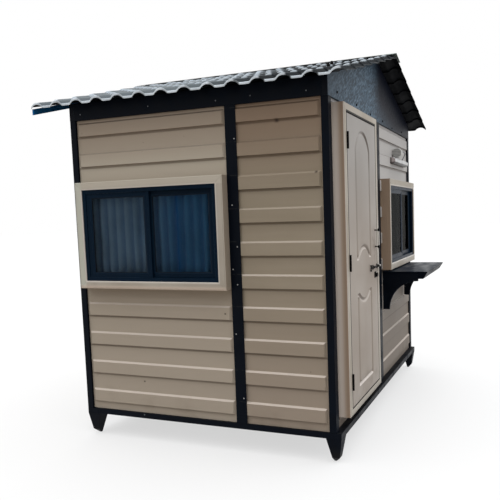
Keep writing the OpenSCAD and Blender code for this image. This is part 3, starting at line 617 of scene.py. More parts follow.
# Hinges, handle and bolt -------------------------------------------------------------------
# Three dark butt hinges in the gap on the left, a bar handle with dark ends at the right, and
# below it a drawn-back barrel bolt over a hasp with its padlock, all screwed on.
IRON, IRON_RUBBED = (0.003, 0.0025, 0.0025), (0.012, 0.010, 0.009)
STEEL, STEEL_BRIGHT = (0.36, 0.34, 0.31), (0.55, 0.53, 0.5)
GRIP_END = 0.024
STAPLE_W, STAPLE_H, STAPLE_T, STAPLE_GAP = 0.030, 0.036, 0.0025, 0.095
HOOP_HALF, HOOP_OUT = 0.0085, 0.0155
ROD_R, ROD_L, ROD_OUT, TEE = 0.006, 0.226, 0.009, 0.052
HASP_W, HASP_H, HASP_T, HASP_DROP = 0.095, 0.045, 0.003, 0.040
LOCK_AT, LOCK_W, LOCK_H, LOCK_OUT, LOCK_UP = 0.74, 0.034, 0.030, 0.0175, 0.006
SHACKLE_R, SHACKLE_BOW, SHACKLE_BENDS, SHACKLE_AROUND = 0.0026, 0.010, 12, 8


def dark_iron(at):
    rub = at.noise(60.0, 4.0).rise(0.5, 0.7)
    return rub.mix(IRON, IRON_RUBBED), 0.5 + 0.2 * rub, at.noise(220.0, 2.0).bump(0.0005, 0.4)


def pale_steel(at):
    brushed = at.noise(80.0, 3.0, (12.0, 12.0, 0.6))
    return brushed.mix(STEEL, STEEL_BRIGHT), 0.28 + 0.14 * brushed, brushed.bump(0.0002, 0.3)


iron = finish("dark_iron", dark_iron, specular=0.05, Metallic=0.1)
steel = finish("pale_steel", pale_steel, Metallic=0.85)
dress(iron, "hinges_on_frame", "hinges_on_leaf", edge=0.0008)


def turned(profile, foot, axis, around=20):
    """Points and faces of a turned form: its profile is radius and height along the axis."""
    spin = Vector(axis).to_track_quat("Z", "Y")
    angles = [math.tau * i / around for i in range(around)]
    verts = [foot + spin @ Vector((r * math.cos(a), r * math.sin(a), h))
             for r, h in profile for a in angles]
    return verts, tube_faces(len(profile), around)


def round_bar(radius, end, length, foot, axis, around=20):
    """A turned bar with both ends alike. An end is shares of the radius at distances from it."""
    profile = [(radius * share, h) for share, h in end]
    return turned(profile + [(r, length - h) for r, h in reversed(profile)], foot, axis, around)


def joined(*parts):
    """Several sets of points and faces as one."""
    verts, faces = [], []
    for more, sides in parts:
        faces += [tuple(len(verts) + i for i in side) for side in sides]
        verts += more
    return verts, faces


low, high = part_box("door_handle")
bar_r, tall = (high.x - low.x) / 2, high.z - low.z
bar = Vector(((low.x + high.x) / 2, low.y + bar_r, low.z))
grip = round_bar(bar_r, ((0.55, GRIP_END - 0.002), (0.9, GRIP_END)), tall, bar, (0, 0, 1))
piece("handle_grip", *grip, steel, "handle_metal", "door", crease=50)
feet = [turned([(bar_r, 0), (bar_r, 0.002), (bar_r * 0.8, 0.004), (bar_r * 0.62, 0.008),
                (bar_r * 0.62, high.y - bar.y)], Vector((bar.x, high.y, low.z + z)), (0, -1, 0))
        for z in (2 * bar_r, tall - 2 * bar_r)]
ends = [turned([(bar_r * 0.9, 0), (bar_r, 0.001), (bar_r, 0.020), (bar_r * 0.8, 0.0232),
                (bar_r * 0.4, GRIP_END)], bar + Vector((0, 0, z)), (0, 0, way))
        for z, way in ((GRIP_END, -1), (tall - GRIP_END, 1))]
piece("handle_ends", *joined(*feet, *ends), iron, "handle_metal", "door",
      stands_for=("door_handle",), crease=50)

low, high = from_corner("door_bolt")
face, keeper_low = high.y, from_corner("bolt_keeper")[0]
rod_z = keeper_low.z + STAPLE_H / 2


def on_leaf(verts, faces):
    """A fitting, given from the middle of the rod and the face of the leaf, in its place."""
    return [on_front(s, face + d, rod_z + z) for s, d, z in verts], faces


def strap(s):
    """A bent strap over a rod: two flanges on the face and a round hoop between them."""
    bends = [math.pi * i / 12 for i in range(1, 12)]
    bare = [(-HOOP_HALF * math.cos(a), HOOP_OUT * math.sin(a) ** 0.8) for a in bends]
    bare = [(-STAPLE_H / 2, 0), (-HOOP_HALF, 0), *bare, (HOOP_HALF, 0), (STAPLE_H / 2, 0)]
    swell = 1 + STAPLE_T / HOOP_HALF
    top = [(z, d + STAPLE_T) if d == 0 else (z * swell, d * swell) for z, d in bare]
    verts = [(s + edge, -d, z) for below, above in zip(bare, top)
             for (z, d), edge in ((below, 0), (below, STAPLE_W), (above, STAPLE_W), (above, 0))]
    return on_leaf(verts, tube_faces(len(bare), 4))


rod_foot = on_front(high.x - ROD_L, face - ROD_OUT, rod_z)
rod = round_bar(ROD_R, ((0.4, 0), (0.9, 0.002), (1, 0.004)), ROD_L, rod_foot, (1, 0, 0))
tee = round_bar(ROD_R, ((0.3, 0), (1, 0.003), (1, 0.012), (0.7, 0.016)), TEE,
                rod_foot - Vector((0, 0, TEE / 2)), (0, 0, 1))
straps = [strap(s) for s in (high.x - 2 * STAPLE_W - STAPLE_GAP, high.x - STAPLE_W)]
piece("barrel_bolt", *joined(*straps, rod, tee), iron, "ironmongery", "door",
      stands_for=("door_bolt",), crease=40)
piece("keeper_strap", *strap(keeper_low.x), steel, "ironmongery", stands_for=("bolt_keeper",), crease=40)


def rounded_plate(s, z, width, tall, front, back, round_r=0.004, bend=0.0008):
    """A plate on the face of the leaf, with round corners and a broken edge."""
    outline = [(s + (width - round_r if right else round_r), z + (tall - round_r if top else round_r),
                quarter * math.pi / 2 + i * math.pi / 8)
               for quarter, (right, top) in enumerate(((1, 1), (0, 1), (0, 0), (1, 0))) for i in range(5)]
    verts = [(a + (round_r - inset) * math.cos(t), d, b + (round_r - inset) * math.sin(t))
             for inset, d in ((0, back), (0, front + bend), (bend, front)) for a, b, t in outline]
    return on_leaf(verts, tube_faces(3, len(outline)))


hasp_z = -HASP_DROP - HASP_H
lock_s, lock_z = high.x - HASP_W * LOCK_AT, hasp_z + LOCK_UP
hasp = rounded_plate(high.x - HASP_W, hasp_z, HASP_W, HASP_H, -HASP_T, 0)
lock = rounded_plate(lock_s, lock_z, LOCK_W, LOCK_H, -LOCK_OUT, -HASP_T, 0.005, 0.002)
shackle = []
for a in (math.pi * i / SHACKLE_BENDS for i in range(SHACKLE_BENDS + 1)):
    for t in (math.tau * k / SHACKLE_AROUND for k in range(SHACKLE_AROUND)):
        reach = SHACKLE_BOW + SHACKLE_R * math.cos(t)
        shackle.append((lock_s + LOCK_W / 2 - reach * math.cos(a), SHACKLE_R * math.sin(t) - SHACKLE_BOW,
                        lock_z + LOCK_H + reach * math.sin(a)))
piece("hasp_plate", *hasp, iron, "ironmongery", "door", crease=40)
piece("padlock", *lock, iron, "ironmongery", "door", crease=40)
piece("padlock_shackle", *on_leaf(shackle, tube_faces(SHACKLE_BENDS + 1, SHACKLE_AROUND)), steel,
      "ironmongery", "door", crease=40)

# Windows -----------------------------------------------------------------------------------
# Sliding windows of navy aluminium with two lapped sashes each, glazed in black rubber, in deep
# boxes of cream sheet that are folded, mitred and fixed over the cut cladding. The serving
# window's glass is tinted against the sun.
NAVY, NAVY_DEEP, NAVY_EDGE = (0.0022, 0.0105, 0.024), (0.0018, 0.0070, 0.016), (0.006, 0.019, 0.038)
RUBBER, RUBBER_WORN = (0.003, 0.003, 0.0035), (0.009, 0.009, 0.009)
CLEAR, CLEAR_FILM, TINTED, TINTED_FILM = (
    (0.46, 0.54, 0.60), (0.40, 0.46, 0.50), (0.175, 0.200, 0.190), (0.23, 0.26, 0.245))
ALU, ALU_DEPTH, FRAME_SET, TRACK_GAP, GROOVE = 0.028, 0.058, 0.006, 0.004, 0.72
STILE, RAIL, SASH, LAP, GLASS = 0.048, 0.036, 0.018, 0.036, 0.005
BOX_FOLD, ARRIS = 0.003, 0.0012
BOX_BEAD = ((0.0075, 0), (0.0081, 0.0012), (0.0094, 0.0012), (0.010, 0))
SASH_FACE = ((0.30, 0, 0), (0.30, ARRIS, 0.0016), (0.62, 0, 0.0016), (0.62, ARRIS, 0.0004),
             (1, -0.009, 0.0004), (1, -0.003, 0.0035), (1, 0, 0.0045), (1, 0, SASH - 0.004),
             (1, -0.004, SASH))
GASKET = ((-0.001, 0.0003), (-0.001, 0.0022), (0.0022, 0.0016), (0.003, 0.0003))


def aluminium(at):
    """Navy powder coat, a little paler where it is rubbed, with a fine grain."""
    rub = at.noise(34.0, 5.0).rise(0.55, 0.8)
    colour = (rub * 0.4).mix(at.noise(3.0, 3.0).mix(NAVY_DEEP, NAVY), NAVY_EDGE)
    return colour, 0.32 + 0.2 * rub, at.noise(500.0, 2.0).bump(0.0003, 0.3)


def rubber(at):
    return at.noise(40.0, 4.0).mix(RUBBER, RUBBER_WORN), 0.7, at.noise(300.0, 2.0).bump(0.0003, 0.3)


def glazing(pane, film_colour):
    """Slightly dirty float glass, with a faint film in patches."""
    def glass(at):
        film = at.noise(4.0, 5.0).rise(0.4, 0.8)
        return film.mix(pane, film_colour), 0.02 + 0.05 * film
    return glass


navy_aluminium = finish("navy_aluminium", aluminium, specular=0.04)
black_rubber = finish("black_rubber", rubber, specular=0.1)
window_glass = finish("window_glass", glazing(CLEAR, CLEAR_FILM), Transmission_Weight=1.0, IOR=1.05)
tinted_glass = finish("tinted_glass", glazing(TINTED, TINTED_FILM), Transmission_Weight=1.0, IOR=1.02)


def window(side, at, lip, rear_first, glass):
    """A box, its rails, two sashes and their rubber. The near sash runs in the rear track where
    rear_first is set, and in the front one elsewhere."""
    low, high = from_corner(f"{side}_window_surround")
    if side == "side":
        low, high = low.yxz, high.yxz
    out, back, size = low.y, high.y, (high.x - low.x, high.z - low.z)
    bend = BOX_FOLD * 0.3
    surround = [(0, back), (0, out + BOX_FOLD), (bend, out + bend), (BOX_FOLD, out)]
    surround += [(inset, out + d) for inset, d in BOX_BEAD]
    surround += [(lip - inset, HEAD_LIP - inset, d) for inset, d in (
        (BOX_FOLD, out), (bend, out + bend), (0, out + BOX_FOLD), (0, back))]
    mitred(f"{side}_window_box", at, (low.x, low.z), size, surround, cream_trim, "trim_sheet", 0.0014,
           stands_for=(f"{side}_window_surround",), crease=40)

    foot, size = (low.x + lip, low.z + HEAD_LIP), (size[0] - 2 * lip, size[1] - 2 * HEAD_LIP)
    front = out + FRAME_SET
    tracks = [front + (ALU_DEPTH - 2 * SASH - TRACK_GAP) / 2, front + (ALU_DEPTH + TRACK_GAP) / 2]
    rails = [(0, front + ALU_DEPTH), (0, front + ARRIS), (ARRIS, front), (ALU * 0.45, front),
             (ALU * 0.45 + ARRIS, front + 0.002), (ALU * 0.8, front + 0.002),
             (ALU - ARRIS, front + 0.003), (ALU, front + 0.005)]
    for start, end in ((tracks[0] - 0.001, tracks[0] + SASH + 0.0005),
                       (tracks[1] - 0.0005, tracks[1] + SASH + 0.001)):
        rails += [(ALU, start), (ALU * GROOVE, start), (ALU * GROOVE, end), (ALU, end)]
    rails.append((ALU, front + ALU_DEPTH))
    mitred(f"{side}_window_rails", at, foot, size, rails, navy_aluminium, "window_aluminium",
           stands_for=(f"{side}_window_frame",), crease=30)

    clear = size[0] - 2 * ALU
    sash = ((clear + LAP) / 2, size[1] - 2 * ALU)
    for place, s, d in (("near", 0, tracks[rear_first]), ("far", clear - sash[0], tracks[not rear_first])):
        sash_foot = (foot[0] + ALU + s, foot[1] + ALU)
        stile = [(ARRIS, d + SASH), (0, d + SASH - ARRIS), (0, d + ARRIS), (ARRIS, d)]
        stile += [(STILE * share + step, RAIL * share + step, d + more) for share, step, more in SASH_FACE]
        mitred(f"{side}_window_{place}_sash", at, sash_foot, sash, stile, navy_aluminium,
               "window_aluminium", 0.0005, stands_for=(f"{side}_window_sashes",), crease=30)
        pane = d + (SASH - GLASS) / 2
        gasket = [(STILE + step, RAIL + step, pane - more) for step, more in GASKET]
        mitred(f"{side}_window_{place}_rubber", at, sash_foot, sash, gasket, black_rubber,
               "window_aluminium", 0.0, crease=30)
    dress(glass, f"{side}_window_glass", edge=0.0005)


window("side", on_left, SIDE_LIP, True, window_glass)
window("front", on_front, FRONT_LIP, False, tinted_glass)

# Curtain -----------------------------------------------------------------------------------
# A thin blue-grey curtain gathered on a stretched wire behind the side window, in even soft
# folds that loosen toward the hem, with painted shade in the folds that stand back from the glass.
# It has faded in the light, most at its far side.
CLOTH_REAR, CLOTH_FRONT, CLOTH_SHADE = (0.225, 0.265, 0.300), (0.055, 0.145, 0.225), (0.60, 0.66, 0.78)
CLOTH_STREAK, STREAK_AT, STREAK_REACH = (0.010, 0.085, 0.20), 0.205, 0.035
FOLDS, FOLD_SWING, COLUMNS_A_FOLD, ROWS = 15, 0.013, 14, 22
SIDE_GAP, HEAD_GAP, FOOT_GAP, WIRE_R, WIRE_END = 0.003, 0.006, 0.004, 0.0014, 0.0012
low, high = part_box("side_window_curtain")
middle = (low.x + high.x) / 2
width, tall = high.y - low.y - 2 * SIDE_GAP, high.z - low.z - HEAD_GAP - FOOT_GAP
seed = random.Random(4)
phases = [seed.uniform(-0.5, 0.5) for _ in range(FOLDS + 1)]
sways = [seed.uniform(0.75, 1.05) for _ in range(FOLDS + 1)]


def drape(across, down):
    """How far the cloth stands from its middle plane, at shares of its width and drop."""
    place = across * FOLDS
    k = min(int(place), FOLDS - 1)
    share = place - k
    swing = sways[k] * (1 - share) + sways[k + 1] * share
    shift = phases[k] * (1 - share) + phases[k + 1] * share
    fan = 0.55 + 0.45 * min(1.0, down * 3.0)
    return FOLD_SWING * swing * fan * math.sin(math.tau * place + shift * (0.4 + down))


columns = FOLDS * COLUMNS_A_FOLD
across = [c / columns for c in range(columns + 1)]
verts = [Vector((middle + drape(share, r / ROWS), low.y + SIDE_GAP + width * share,
                 high.z - HEAD_GAP - tall * r / ROWS)) for r in range(ROWS + 1) for share in across]
firsts = [r * (columns + 1) + c for r in range(ROWS) for c in range(columns)]
faces = [(a, a + 1, a + columns + 2, a + columns + 1) for a in firsts]


def cloth(at):
    x, y, _ = at.axes()
    # Painted shade darkens the folds that stand back from the glass.
    fold_shade = ((x - middle) / FOLD_SWING).rise(-1.0, 1.0)
    weave = at.node("TexWave", {"bands_direction": "Y"}, {"Vector": at, "Scale": 380.0}, out=1)
    faded = (y + at.noise(2.5, 3.0) * 0.3).rise(0.35, 0.75)
    dye = y.near(STREAK_AT, STREAK_REACH).mix(faded.mix(CLOTH_FRONT, CLOTH_REAR), CLOTH_STREAK)
    dye = at.node("Mix", {"data_type": "RGBA", "blend_type": "MULTIPLY"},
                  {0: fold_shade, 6: dye, 7: CLOTH_SHADE}, out=2)
    return dye, 0.85, (weave * 0.3 + at.noise(90.0, 3.0)).bump(0.0006, 0.5)


curtain = piece("gathered_curtain", verts, faces, finish("curtain_cloth", cloth), "curtain_cloth",
                stands_for=("side_window_curtain",), crease=80)
line = [Vector((drape(share, 0.5), width * share)) for share in across]
flat_width = sum((b - a).length for a, b in zip(line, line[1:]))
wire = round_bar(WIRE_R, ((WIRE_END / WIRE_R, 0), (1, 0.0005)), width + 0.0045,
                 Vector((middle, low.y + 0.001, high.z - 0.0035)), (0, 1, 0), 8)
piece("curtain_wire", *wire, steel, "window_aluminium")

# Counter -----------------------------------------------------------------------------------
# A folded steel shelf under the serving window, with a sloping apron along its edge, on two
# brackets cut to a quarter circle. Black enamel, its top painted grey with dust and with a painted
# reflection of the sky.
COUNTER_DUST_AND_REFLECTION = (0.014, 0.021, 0.033)


def counter_enamel(at):
    wiped = at.noise(7.0, 5.0, (0.6, 2.0, 1.0)).rise(0.3, 0.75)
    # The top is painted grey with dust and with a painted reflection of the sky.
    top = at.facing()[2].rise(0.6, 0.95) * (0.45 + 0.4 * wiped)
    return top.mix(BLACK, COUNTER_DUST_AND_REFLECTION), 0.3 + 0.2 * wiped, enamel(at)[2]


dress(finish("counter_enamel", counter_enamel, specular=0.04), "counter_top", edge=0.0025)
dress(black_enamel, "counter_bracket_left", "counter_bracket_right", edge=0.002)

# Light over the window ---------------------------------------------------------------------
# A white batten light screwed to the face of a rib, its diffuser yellowed, with painted shade along
# its foot, its underside and its ends beside the wall, and an eight-sided grey switch box with
# louvred ends above it. A short grey cable bows out of the side of the box and down into the top of
# the batten.
BATTEN, BATTEN_DUSTY, BATTEN_END = (0.46, 0.46, 0.46), (0.32, 0.30, 0.27), (0.42, 0.37, 0.37)
BATTEN_FOOT_SHADE, BATTEN_UNDERSIDE_SHADE = (0.040, 0.027, 0.025), (0.016, 0.011, 0.010)
CASE_GREY, CASE_DUSTY = (0.42, 0.42, 0.41), (0.27, 0.265, 0.25)
LOUVRE_DARK, LOUVRE = (0.06, 0.06, 0.062), 0.0135
CABLE_DARK, CABLE_PALE, CABLE_D, CABLE_POINTS = (0.050, 0.060, 0.075), (0.085, 0.095, 0.110), 0.009, 19
CABLE_LEAVES, CABLE_OUT = Vector((-0.001, 0.026, -0.024)), Vector((0.34, 0, 0.022))
CABLE_LANDS, CABLE_IN = Vector((0.151, 0.034, -0.001)), Vector((0.17, 0, 0.070))


def white_plastic(at):
    _, y, z = at.axes()
    low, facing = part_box("light_fitting")[0], at.facing()
    down, end = 1 - facing[2].rise(-0.75, -0.2), 1 - facing[0].rise(-0.9, -0.5)
    # Painted shade along the foot of the batten, on its ends beside the wall, and on its underside.
    coat_share = 1 - (z - low.z).rise(0.010, 0.024) * (1 - end * (y - low.y).rise(0.030, 0.040))
    dust = at.noise(12.0, 5.0).rise(0.4, 0.8)
    colour = (dust * 0.3).mix(BATTEN, BATTEN_DUSTY).coated(
        (end, BATTEN_END), (coat_share * 0.9, BATTEN_FOOT_SHADE), (down * 0.93, BATTEN_UNDERSIDE_SHADE))
    return colour, 0.35 + 0.2 * dust, at.noise(180.0, 2.0).bump(0.0004, 0.3)


def grey_plastic(at):
    ends = abs(at.facing()[0]).rise(0.8, 0.95)
    slot = (at.axes()[2] / LOUVRE).part().near(0.5, 0.3) * ends
    dust = at.noise(16.0, 5.0).rise(0.4, 0.8)
    colour = (slot * 0.75).mix((dust * 0.5).mix(CASE_GREY, CASE_DUSTY), LOUVRE_DARK)
    return colour, 0.42 + 0.2 * dust, (at.noise(200.0, 2.0) - slot * 4.0).bump(0.0006, 0.4)


def grey_cable(at):
    return at.noise(40.0, 3.0).mix(CABLE_DARK, CABLE_PALE), 0.5, at.noise(200.0, 2.0).bump(0.0003, 0.3)


dress(finish("white_plastic", white_plastic), "light_fitting", edge=0.004)
dress(finish("grey_plastic", grey_plastic), "switch_box", edge=0.006)
box_low, box_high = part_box("switch_box")
leaves = Vector((box_high.x, box_low.y, box_high.z)) + CABLE_LEAVES
lands = Vector((box_high.x, box_low.y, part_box("light_fitting")[1].z)) + CABLE_LANDS
route = interpolate_bezier(leaves, leaves + CABLE_OUT, lands + CABLE_IN, lands, CABLE_POINTS)
curve = bpy.data.curves.new("switch_cable", "CURVE")
curve.dimensions, curve.bevel_depth, curve.bevel_resolution = "3D", CABLE_D / 2, 4
spline = curve.splines.new("POLY")
spline.points.add(len(route) - 1)
for point, place in zip(spline.points, route):
    point.co = (*place, 1.0)
spline.use_smooth = True
curve.materials.append(finish("grey_cable", grey_cable))
cable = bpy.data.objects.new("switch_cable", curve)
add_object(cable)
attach(cable, "cabin")
sum((b - a).length for a, b in zip(route, route[1:]))

# Eaves and gables --------------------------------------------------------------------------
# Black beams along the eaves, and over each end a board of hammered blue-grey enamel, brushed on
# in leaning streaks that carry a painted sheen. The front one is painted black as shade under the
# right half of the roof, and the edges of both are painted black.
GABLE, GABLE_DARK, GABLE_PAINTED_SHEEN = (0.063, 0.108, 0.155), (0.030, 0.048, 0.068), (0.12, 0.175, 0.23)
GABLE_ROOF_SHADE, STREAK_LEAN, ROOF_FALL = (0.002, 0.003, 0.008), -1.0, 0.279


def gable_enamel(at):
    x, y, z = at.axes()
    leaning = at.node("VectorRotate", {"rotation_type": "Y_AXIS"}, {"Vector": at, "Angle": STREAK_LEAN})
    streak, mottle = leaning.noise(75.0, 2.0, (1.0, 1.0, 0.30)), at.noise(60.0, 5.0)
    under_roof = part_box("gable_board_front")[1].z - x * ROOF_FALL - z
    colour = streak.rise(0.38, 0.62).mix(GABLE_DARK, GABLE).coated(
        # A painted sheen along the streaks.
        ((streak * 0.6 + mottle * 0.4).rise(0.5, 0.64), GABLE_PAINTED_SHEEN),
        ((1 - x.rise(-1.35, -0.75)) * 0.5, GABLE_DARK),
        # Painted shade under the right half of the roof, on the front board.
        ((1 - under_roof.rise(0.24, 0.68)) * x.rise(-0.3, 0.1) * (1 - y.rise(0.0, 0.1)), GABLE_ROOF_SHADE),
        (abs(at.facing()[0]).rise(0.5, 0.8), BLACK))
    return colour, 0.34 + 0.25 * mottle, (streak + mottle * 0.4).bump(0.0025, 0.5)


dress(black_enamel, "eave_beam_left", "eave_beam_right", "ridge_beam", edge=0.002)
dress(finish("hammered_enamel", gable_enamel, specular=0.08), "gable_board_front", "gable_board_back")

# Roof --------------------------------------------------------------------------------------
# Two tile-profile sheets, rolled with arched crests and wide troughs and pressed down a step at
# each course, under a folded ridge cap. Slate-green glaze with dust, a painted highlight on each
# crest's upper flank and a painted glare toward the far end. Its noses are pale and carry a painted
# reflection of the sky; painted shade lies along each crest's lee side and on the undersides, and
# the sheet is darker along the front rake. A blue barge board closes the far verge.
SLATE, SLATE_PALE, SLATE_FAR_GLARE = (0.033, 0.044, 0.052), (0.072, 0.090, 0.100), (0.165, 0.195, 0.215)
PALE_NOSE_AND_REFLECTION, LEE_SHADE_AND_RAKE_DARK, UNDERSIDE_SHADE = (0.74, 0.82, 0.90), (0.003, 0.0045, 0.0065), (0.002, 0.0025, 0.0035)
CAP, CAP_DUSTY, CAP_BLEACHED = (0.022, 0.028, 0.029), (0.055, 0.064, 0.064), (0.19, 0.235, 0.225)
BARGE, BARGE_CHALKED = (0.008, 0.110, 0.30), (0.03, 0.18, 0.42)
SLOPE, COURSES, STEP, SHEET = math.radians(15.6), 7, 0.012, 0.003
WAVE_PITCH, WAVE_HEIGHT, FIRST_CREST, CREST = 0.1805, 0.028, 0.058, 0.104
EAVE_OVERHANG, FILLET, FILLET_SINK, FINE, COARSE = 0.112, 0.006, 0.0002, 0.0055, 0.015
NOSE = ((0.0045, SHEET, 0.0060, 0), (0.0022, 0.0023, 0.0042, 0), (0.0006, 0.0002, 0.0034, -0.0006),
        (0, -0.0030, SHEET, -0.0030))
low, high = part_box("roof_sheet_left")
slope_length = (EAVE_OVERHANG - corner.x) / math.cos(SLOPE)
tilt = math.asin(STEP * COURSES / slope_length)
run, lie = slope_length / COURSES * math.cos(tilt), SLOPE - tilt
ridge_height = high.z - (WAVE_HEIGHT + SHEET) * math.cos(lie)
rake, crest_r = low.y, arc_over(CREST / 2, WAVE_HEIGHT)


def off_crest(y):
    """How far a place is from the nearest crest, at a distance from the front rake."""
    return abs(y - FIRST_CREST - round((y - FIRST_CREST) / WAVE_PITCH) * WAVE_PITCH)


def wave(y):
    """Height of the sheet over its troughs, at a distance from the front rake."""
    arch = math.sqrt(max(0.0, crest_r ** 2 - off_crest(y) ** 2)) - crest_r + WAVE_HEIGHT
    return min(WAVE_HEIGHT, (arch + math.sqrt(arch ** 2 + FILLET ** 2)) / 2 - FILLET_SINK)


def roof_sheet(name, side, node):
    """One slope, laid out for the left side. Each course ends in a rounded nose and a step."""
    ys, y, end = [], 0.0, high.y - low.y
    while y < end - 1e-6:
        ys.append(y)
        y += FINE if off_crest(y) < CREST * 0.6 else COARSE
    ys.append(end)
    rows = []
    for course in range(COURSES):
        foot, lift = -(course + 1) * run, -course * STEP
        rows += [(foot + run * share, lift + SHEET, foot + run * share + SHEET * (share == 1.0), lift)
                 for share in (1.0, 0.92, 0.65, 0.35, 0.1)]
        rows += [(foot + top, lift + top_lift, foot + under, lift + under_lift)
                 for top, top_lift, under, under_lift in NOSE]
    rows.append((foot, lift - STEP + 0.0003, foot + SHEET, lift - STEP + 0.0003))
    verts = []
    for top, top_lift, under, under_lift in rows:
        for along, lift, places in ((top, top_lift, ys), (under, under_lift, ys[::-1])):
            for y in places:
                h = lift + wave(y)
                x, z = along * math.cos(lie) - h * math.sin(lie), along * math.sin(lie) + h * math.cos(lie)
                verts.append((side * min(0.0, x), rake + y, ridge_height + z))
    around = 2 * len(ys)
    faces = tube_faces(len(rows), around)[:-2]
    for ring in (0, (len(rows) - 1) * around):
        faces += [(ring + c, ring + c + 1, ring + around - 2 - c, ring + around - 1 - c)
                  for c in range(len(ys) - 1)]
    return piece(name, verts, faces, roof_paint, "roof_sheet", stands_for=(node,), crease=50)


def glazed_sheet(at):
    x, y, _ = at.axes()
    facing = at.facing()
    across = ((y - rake - FIRST_CREST) / WAVE_PITCH + 0.5).part()
    # A painted glare growing toward the far end.
    far = y.rise(-0.60, 0.15)
    # Painted shade along each crest's lee flank, weaker toward the far end.
    lee_shade = across.rise(0.17, 0.24) * (1 - across.rise(0.36, 0.47)) * (1 - 0.65 * far)
    # A painted highlight on each crest's upper flank.
    lit_flank = across.near(0.60, 0.14)
    # The noses, facing down the slope, are pale and carry a painted reflection of the sky.
    outward = facing[0] * (x.rise(-0.001, 0.001) * 2 - 1)
    # Undersides and inward faces painted near-black as shade.
    under = (1 - facing[2].rise(-0.55, -0.35)).most((-outward).rise(0.35, 0.6))
    dust = at.noise(6.0, 6.0).rise(0.35, 0.75)
    colour = (dust * 0.7 + lit_flank * 0.4).mix(SLATE, SLATE_PALE).coated(
        (far * 0.65, SLATE_FAR_GLARE),
        (outward.rise(0.45, 0.8) * (0.72 + 0.28 * dust), PALE_NOSE_AND_REFLECTION),
        (lee_shade * (0.97 - 0.1 * dust), LEE_SHADE_AND_RAKE_DARK),
        ((1 - (y - rake).rise(0.004, 0.012)) * 0.85, LEE_SHADE_AND_RAKE_DARK),
        (under, UNDERSIDE_SHADE))
    rough = 0.30 + 0.25 * dust + 0.4 * lee_shade + 0.4 * under
    return colour, rough, at.noise(60.0, 3.0).bump(0.001, 0.3)


def cap_steel(at):
    """The same glaze on the flat wings of the cap, weathered to grey-green."""
    dust = at.noise(8.0, 6.0).rise(0.35, 0.75)
    bleached = 1 - (at.axes()[1] - rake).rise(0.03, 0.16)
    colour = bleached.mix(dust.mix(CAP, CAP_DUSTY), CAP_BLEACHED)
    return colour, 0.4 + 0.2 * dust, at.noise(9.0, 3.0).bump(0.003, 0.3)


def barge_paint(at):
    """Strong blue oil paint, brushed on and chalked in patches."""
    pale_share = at.noise(20.0, 5.0).rise(0.45, 0.8)
    return pale_share.mix(BARGE, BARGE_CHALKED), 0.45 + 0.2 * pale_share, at.noise(60.0, 3.0).bump(0.001, 0.3)


roof_paint = finish("glazed_sheet", glazed_sheet, specular=0.08)
roof_sheet("tile_sheet_left", 1, "roof_sheet_left")
roof_sheet("tile_sheet_right", -1, "roof_sheet_right")
dress(finish("cap_steel", cap_steel, specular=0.1), "ridge_cap", edge=0.001)
dress(finish("barge_paint", barge_paint, specular=0.1), "barge_board_back")

# Screws ------------------------------------------------------------------------------------
# Pan-head screws hold the strips to the frame and the gable boards to their rail. Those of the
# eaves and the base are dull, and two tall ones hold the roof sheet down on its second crest.
SCREW, SCREW_BRIGHT, SCREW_DULL, SCREW_GREY = (
    (0.30, 0.30, 0.29), (0.5, 0.5, 0.48), (0.10, 0.11, 0.12), (0.19, 0.20, 0.21))
HEAD_AROUND, HEAD_SPIN = 16, 0.7
HEAD_RINGS = ((1.0, 0.0, 0), (1.0, 0.3, 0), (0.86, 0.72, 0), (0.58, 0.97, 0), (0.34, 1.02, 0.45),
              (0.1, 1.0, 0.6))
STRIP_SCREWS = ((-0.025, 1.975), (0.010, 1.531), (-0.018, 1.246), (0.022, 1.091), (-0.008, 0.985),
                (0.018, 0.639), (-0.022, 0.184))
BEAM_SCREWS = ((0.145, 2.240), (0.539, 2.246), (0.799, 2.238), (1.342, 2.250), (1.940, 2.244),
               (1.514, -0.012))
GABLE_SCREWS = ((0.196, 2.248), (0.668, 2.239), (1.078, 2.229), (1.493, 2.230), (1.871, 2.215),
                (2.320, 2.232))
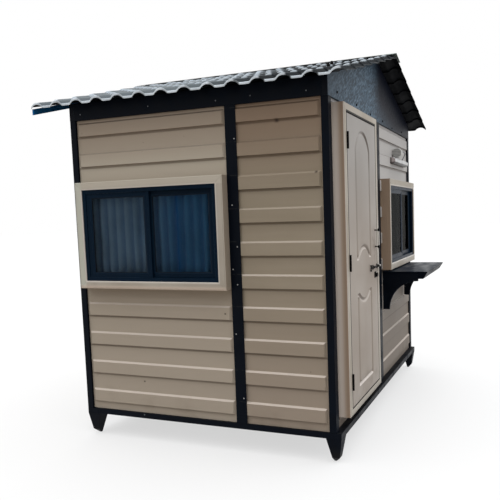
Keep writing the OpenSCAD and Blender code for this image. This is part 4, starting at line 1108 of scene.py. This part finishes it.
ROOF_SCREWS = ((-1.081, 5), (-1.003, 4))


def screw_steel(dark, pale, rough):
    """Plated steel, speckled between two greys."""
    def plated(at):
        return at.noise(300.0, 2.0).mix(dark, pale), rough + 0.2 * at.noise(150.0, 2.0)
    return plated


def screw_heads(name, heads, paint, slot, radius=0.0048, rise=0.0026):
    """Domed heads with a cross recess. A head is its place and the way that it faces."""
    verts, faces = [], []
    angles = [math.tau * i / HEAD_AROUND for i in range(HEAD_AROUND)]
    for count, (place, facing) in enumerate(heads):
        faces += tube_faces(len(HEAD_RINGS), HEAD_AROUND, len(verts))
        turn = Vector(facing).to_track_quat("Z", "Y") @ Quaternion((0, 0, 1), HEAD_SPIN * count)
        for share, height, cut in HEAD_RINGS:
            verts += [place + turn @ Vector((
                radius * share * math.cos(a), radius * share * math.sin(a),
                rise * (height - cut * max(0.0, math.cos(4 * a))))) for a in angles]
    return piece(name, verts, faces, paint, slot)


bright = finish("bright_screw", screw_steel(SCREW, SCREW_BRIGHT, 0.35), Metallic=0.7)
dull = finish("dull_screw", screw_steel(SCREW_DULL, SCREW_GREY, 0.5), Metallic=0.5)
black_head = finish("black_screw", dark_iron, specular=0.1, Metallic=0.1)
screw_heads("strip_screws", [(on_left(STRIP_AT + s, 0, z), (-1, 0, 0)) for s, z in STRIP_SCREWS], bright,
            "frame_paint")
screw_heads("beam_screws", [(on_left(s, 0, z), (-1, 0, 0)) for s, z in BEAM_SCREWS], dull, "frame_paint")
roof_heads = []
for x, course in ROOF_SCREWS:
    h = WAVE_HEIGHT + SHEET - course * STEP
    height = ridge_height + h * math.cos(lie) + (x + h * math.sin(lie)) * math.tan(lie)
    roof_heads.append((Vector((x, rake + FIRST_CREST + WAVE_PITCH, height)),
                       (-math.sin(lie), 0, math.cos(lie))))
screw_heads("roof_screws", roof_heads, black_head, "roof_sheet", radius=0.012, rise=0.024)
screw_heads("gable_screws", [(on_front(s, 0, z), (0, -1, 0)) for s, z in GABLE_SCREWS], black_head,
            "gable_paint", radius=0.009, rise=0.006)
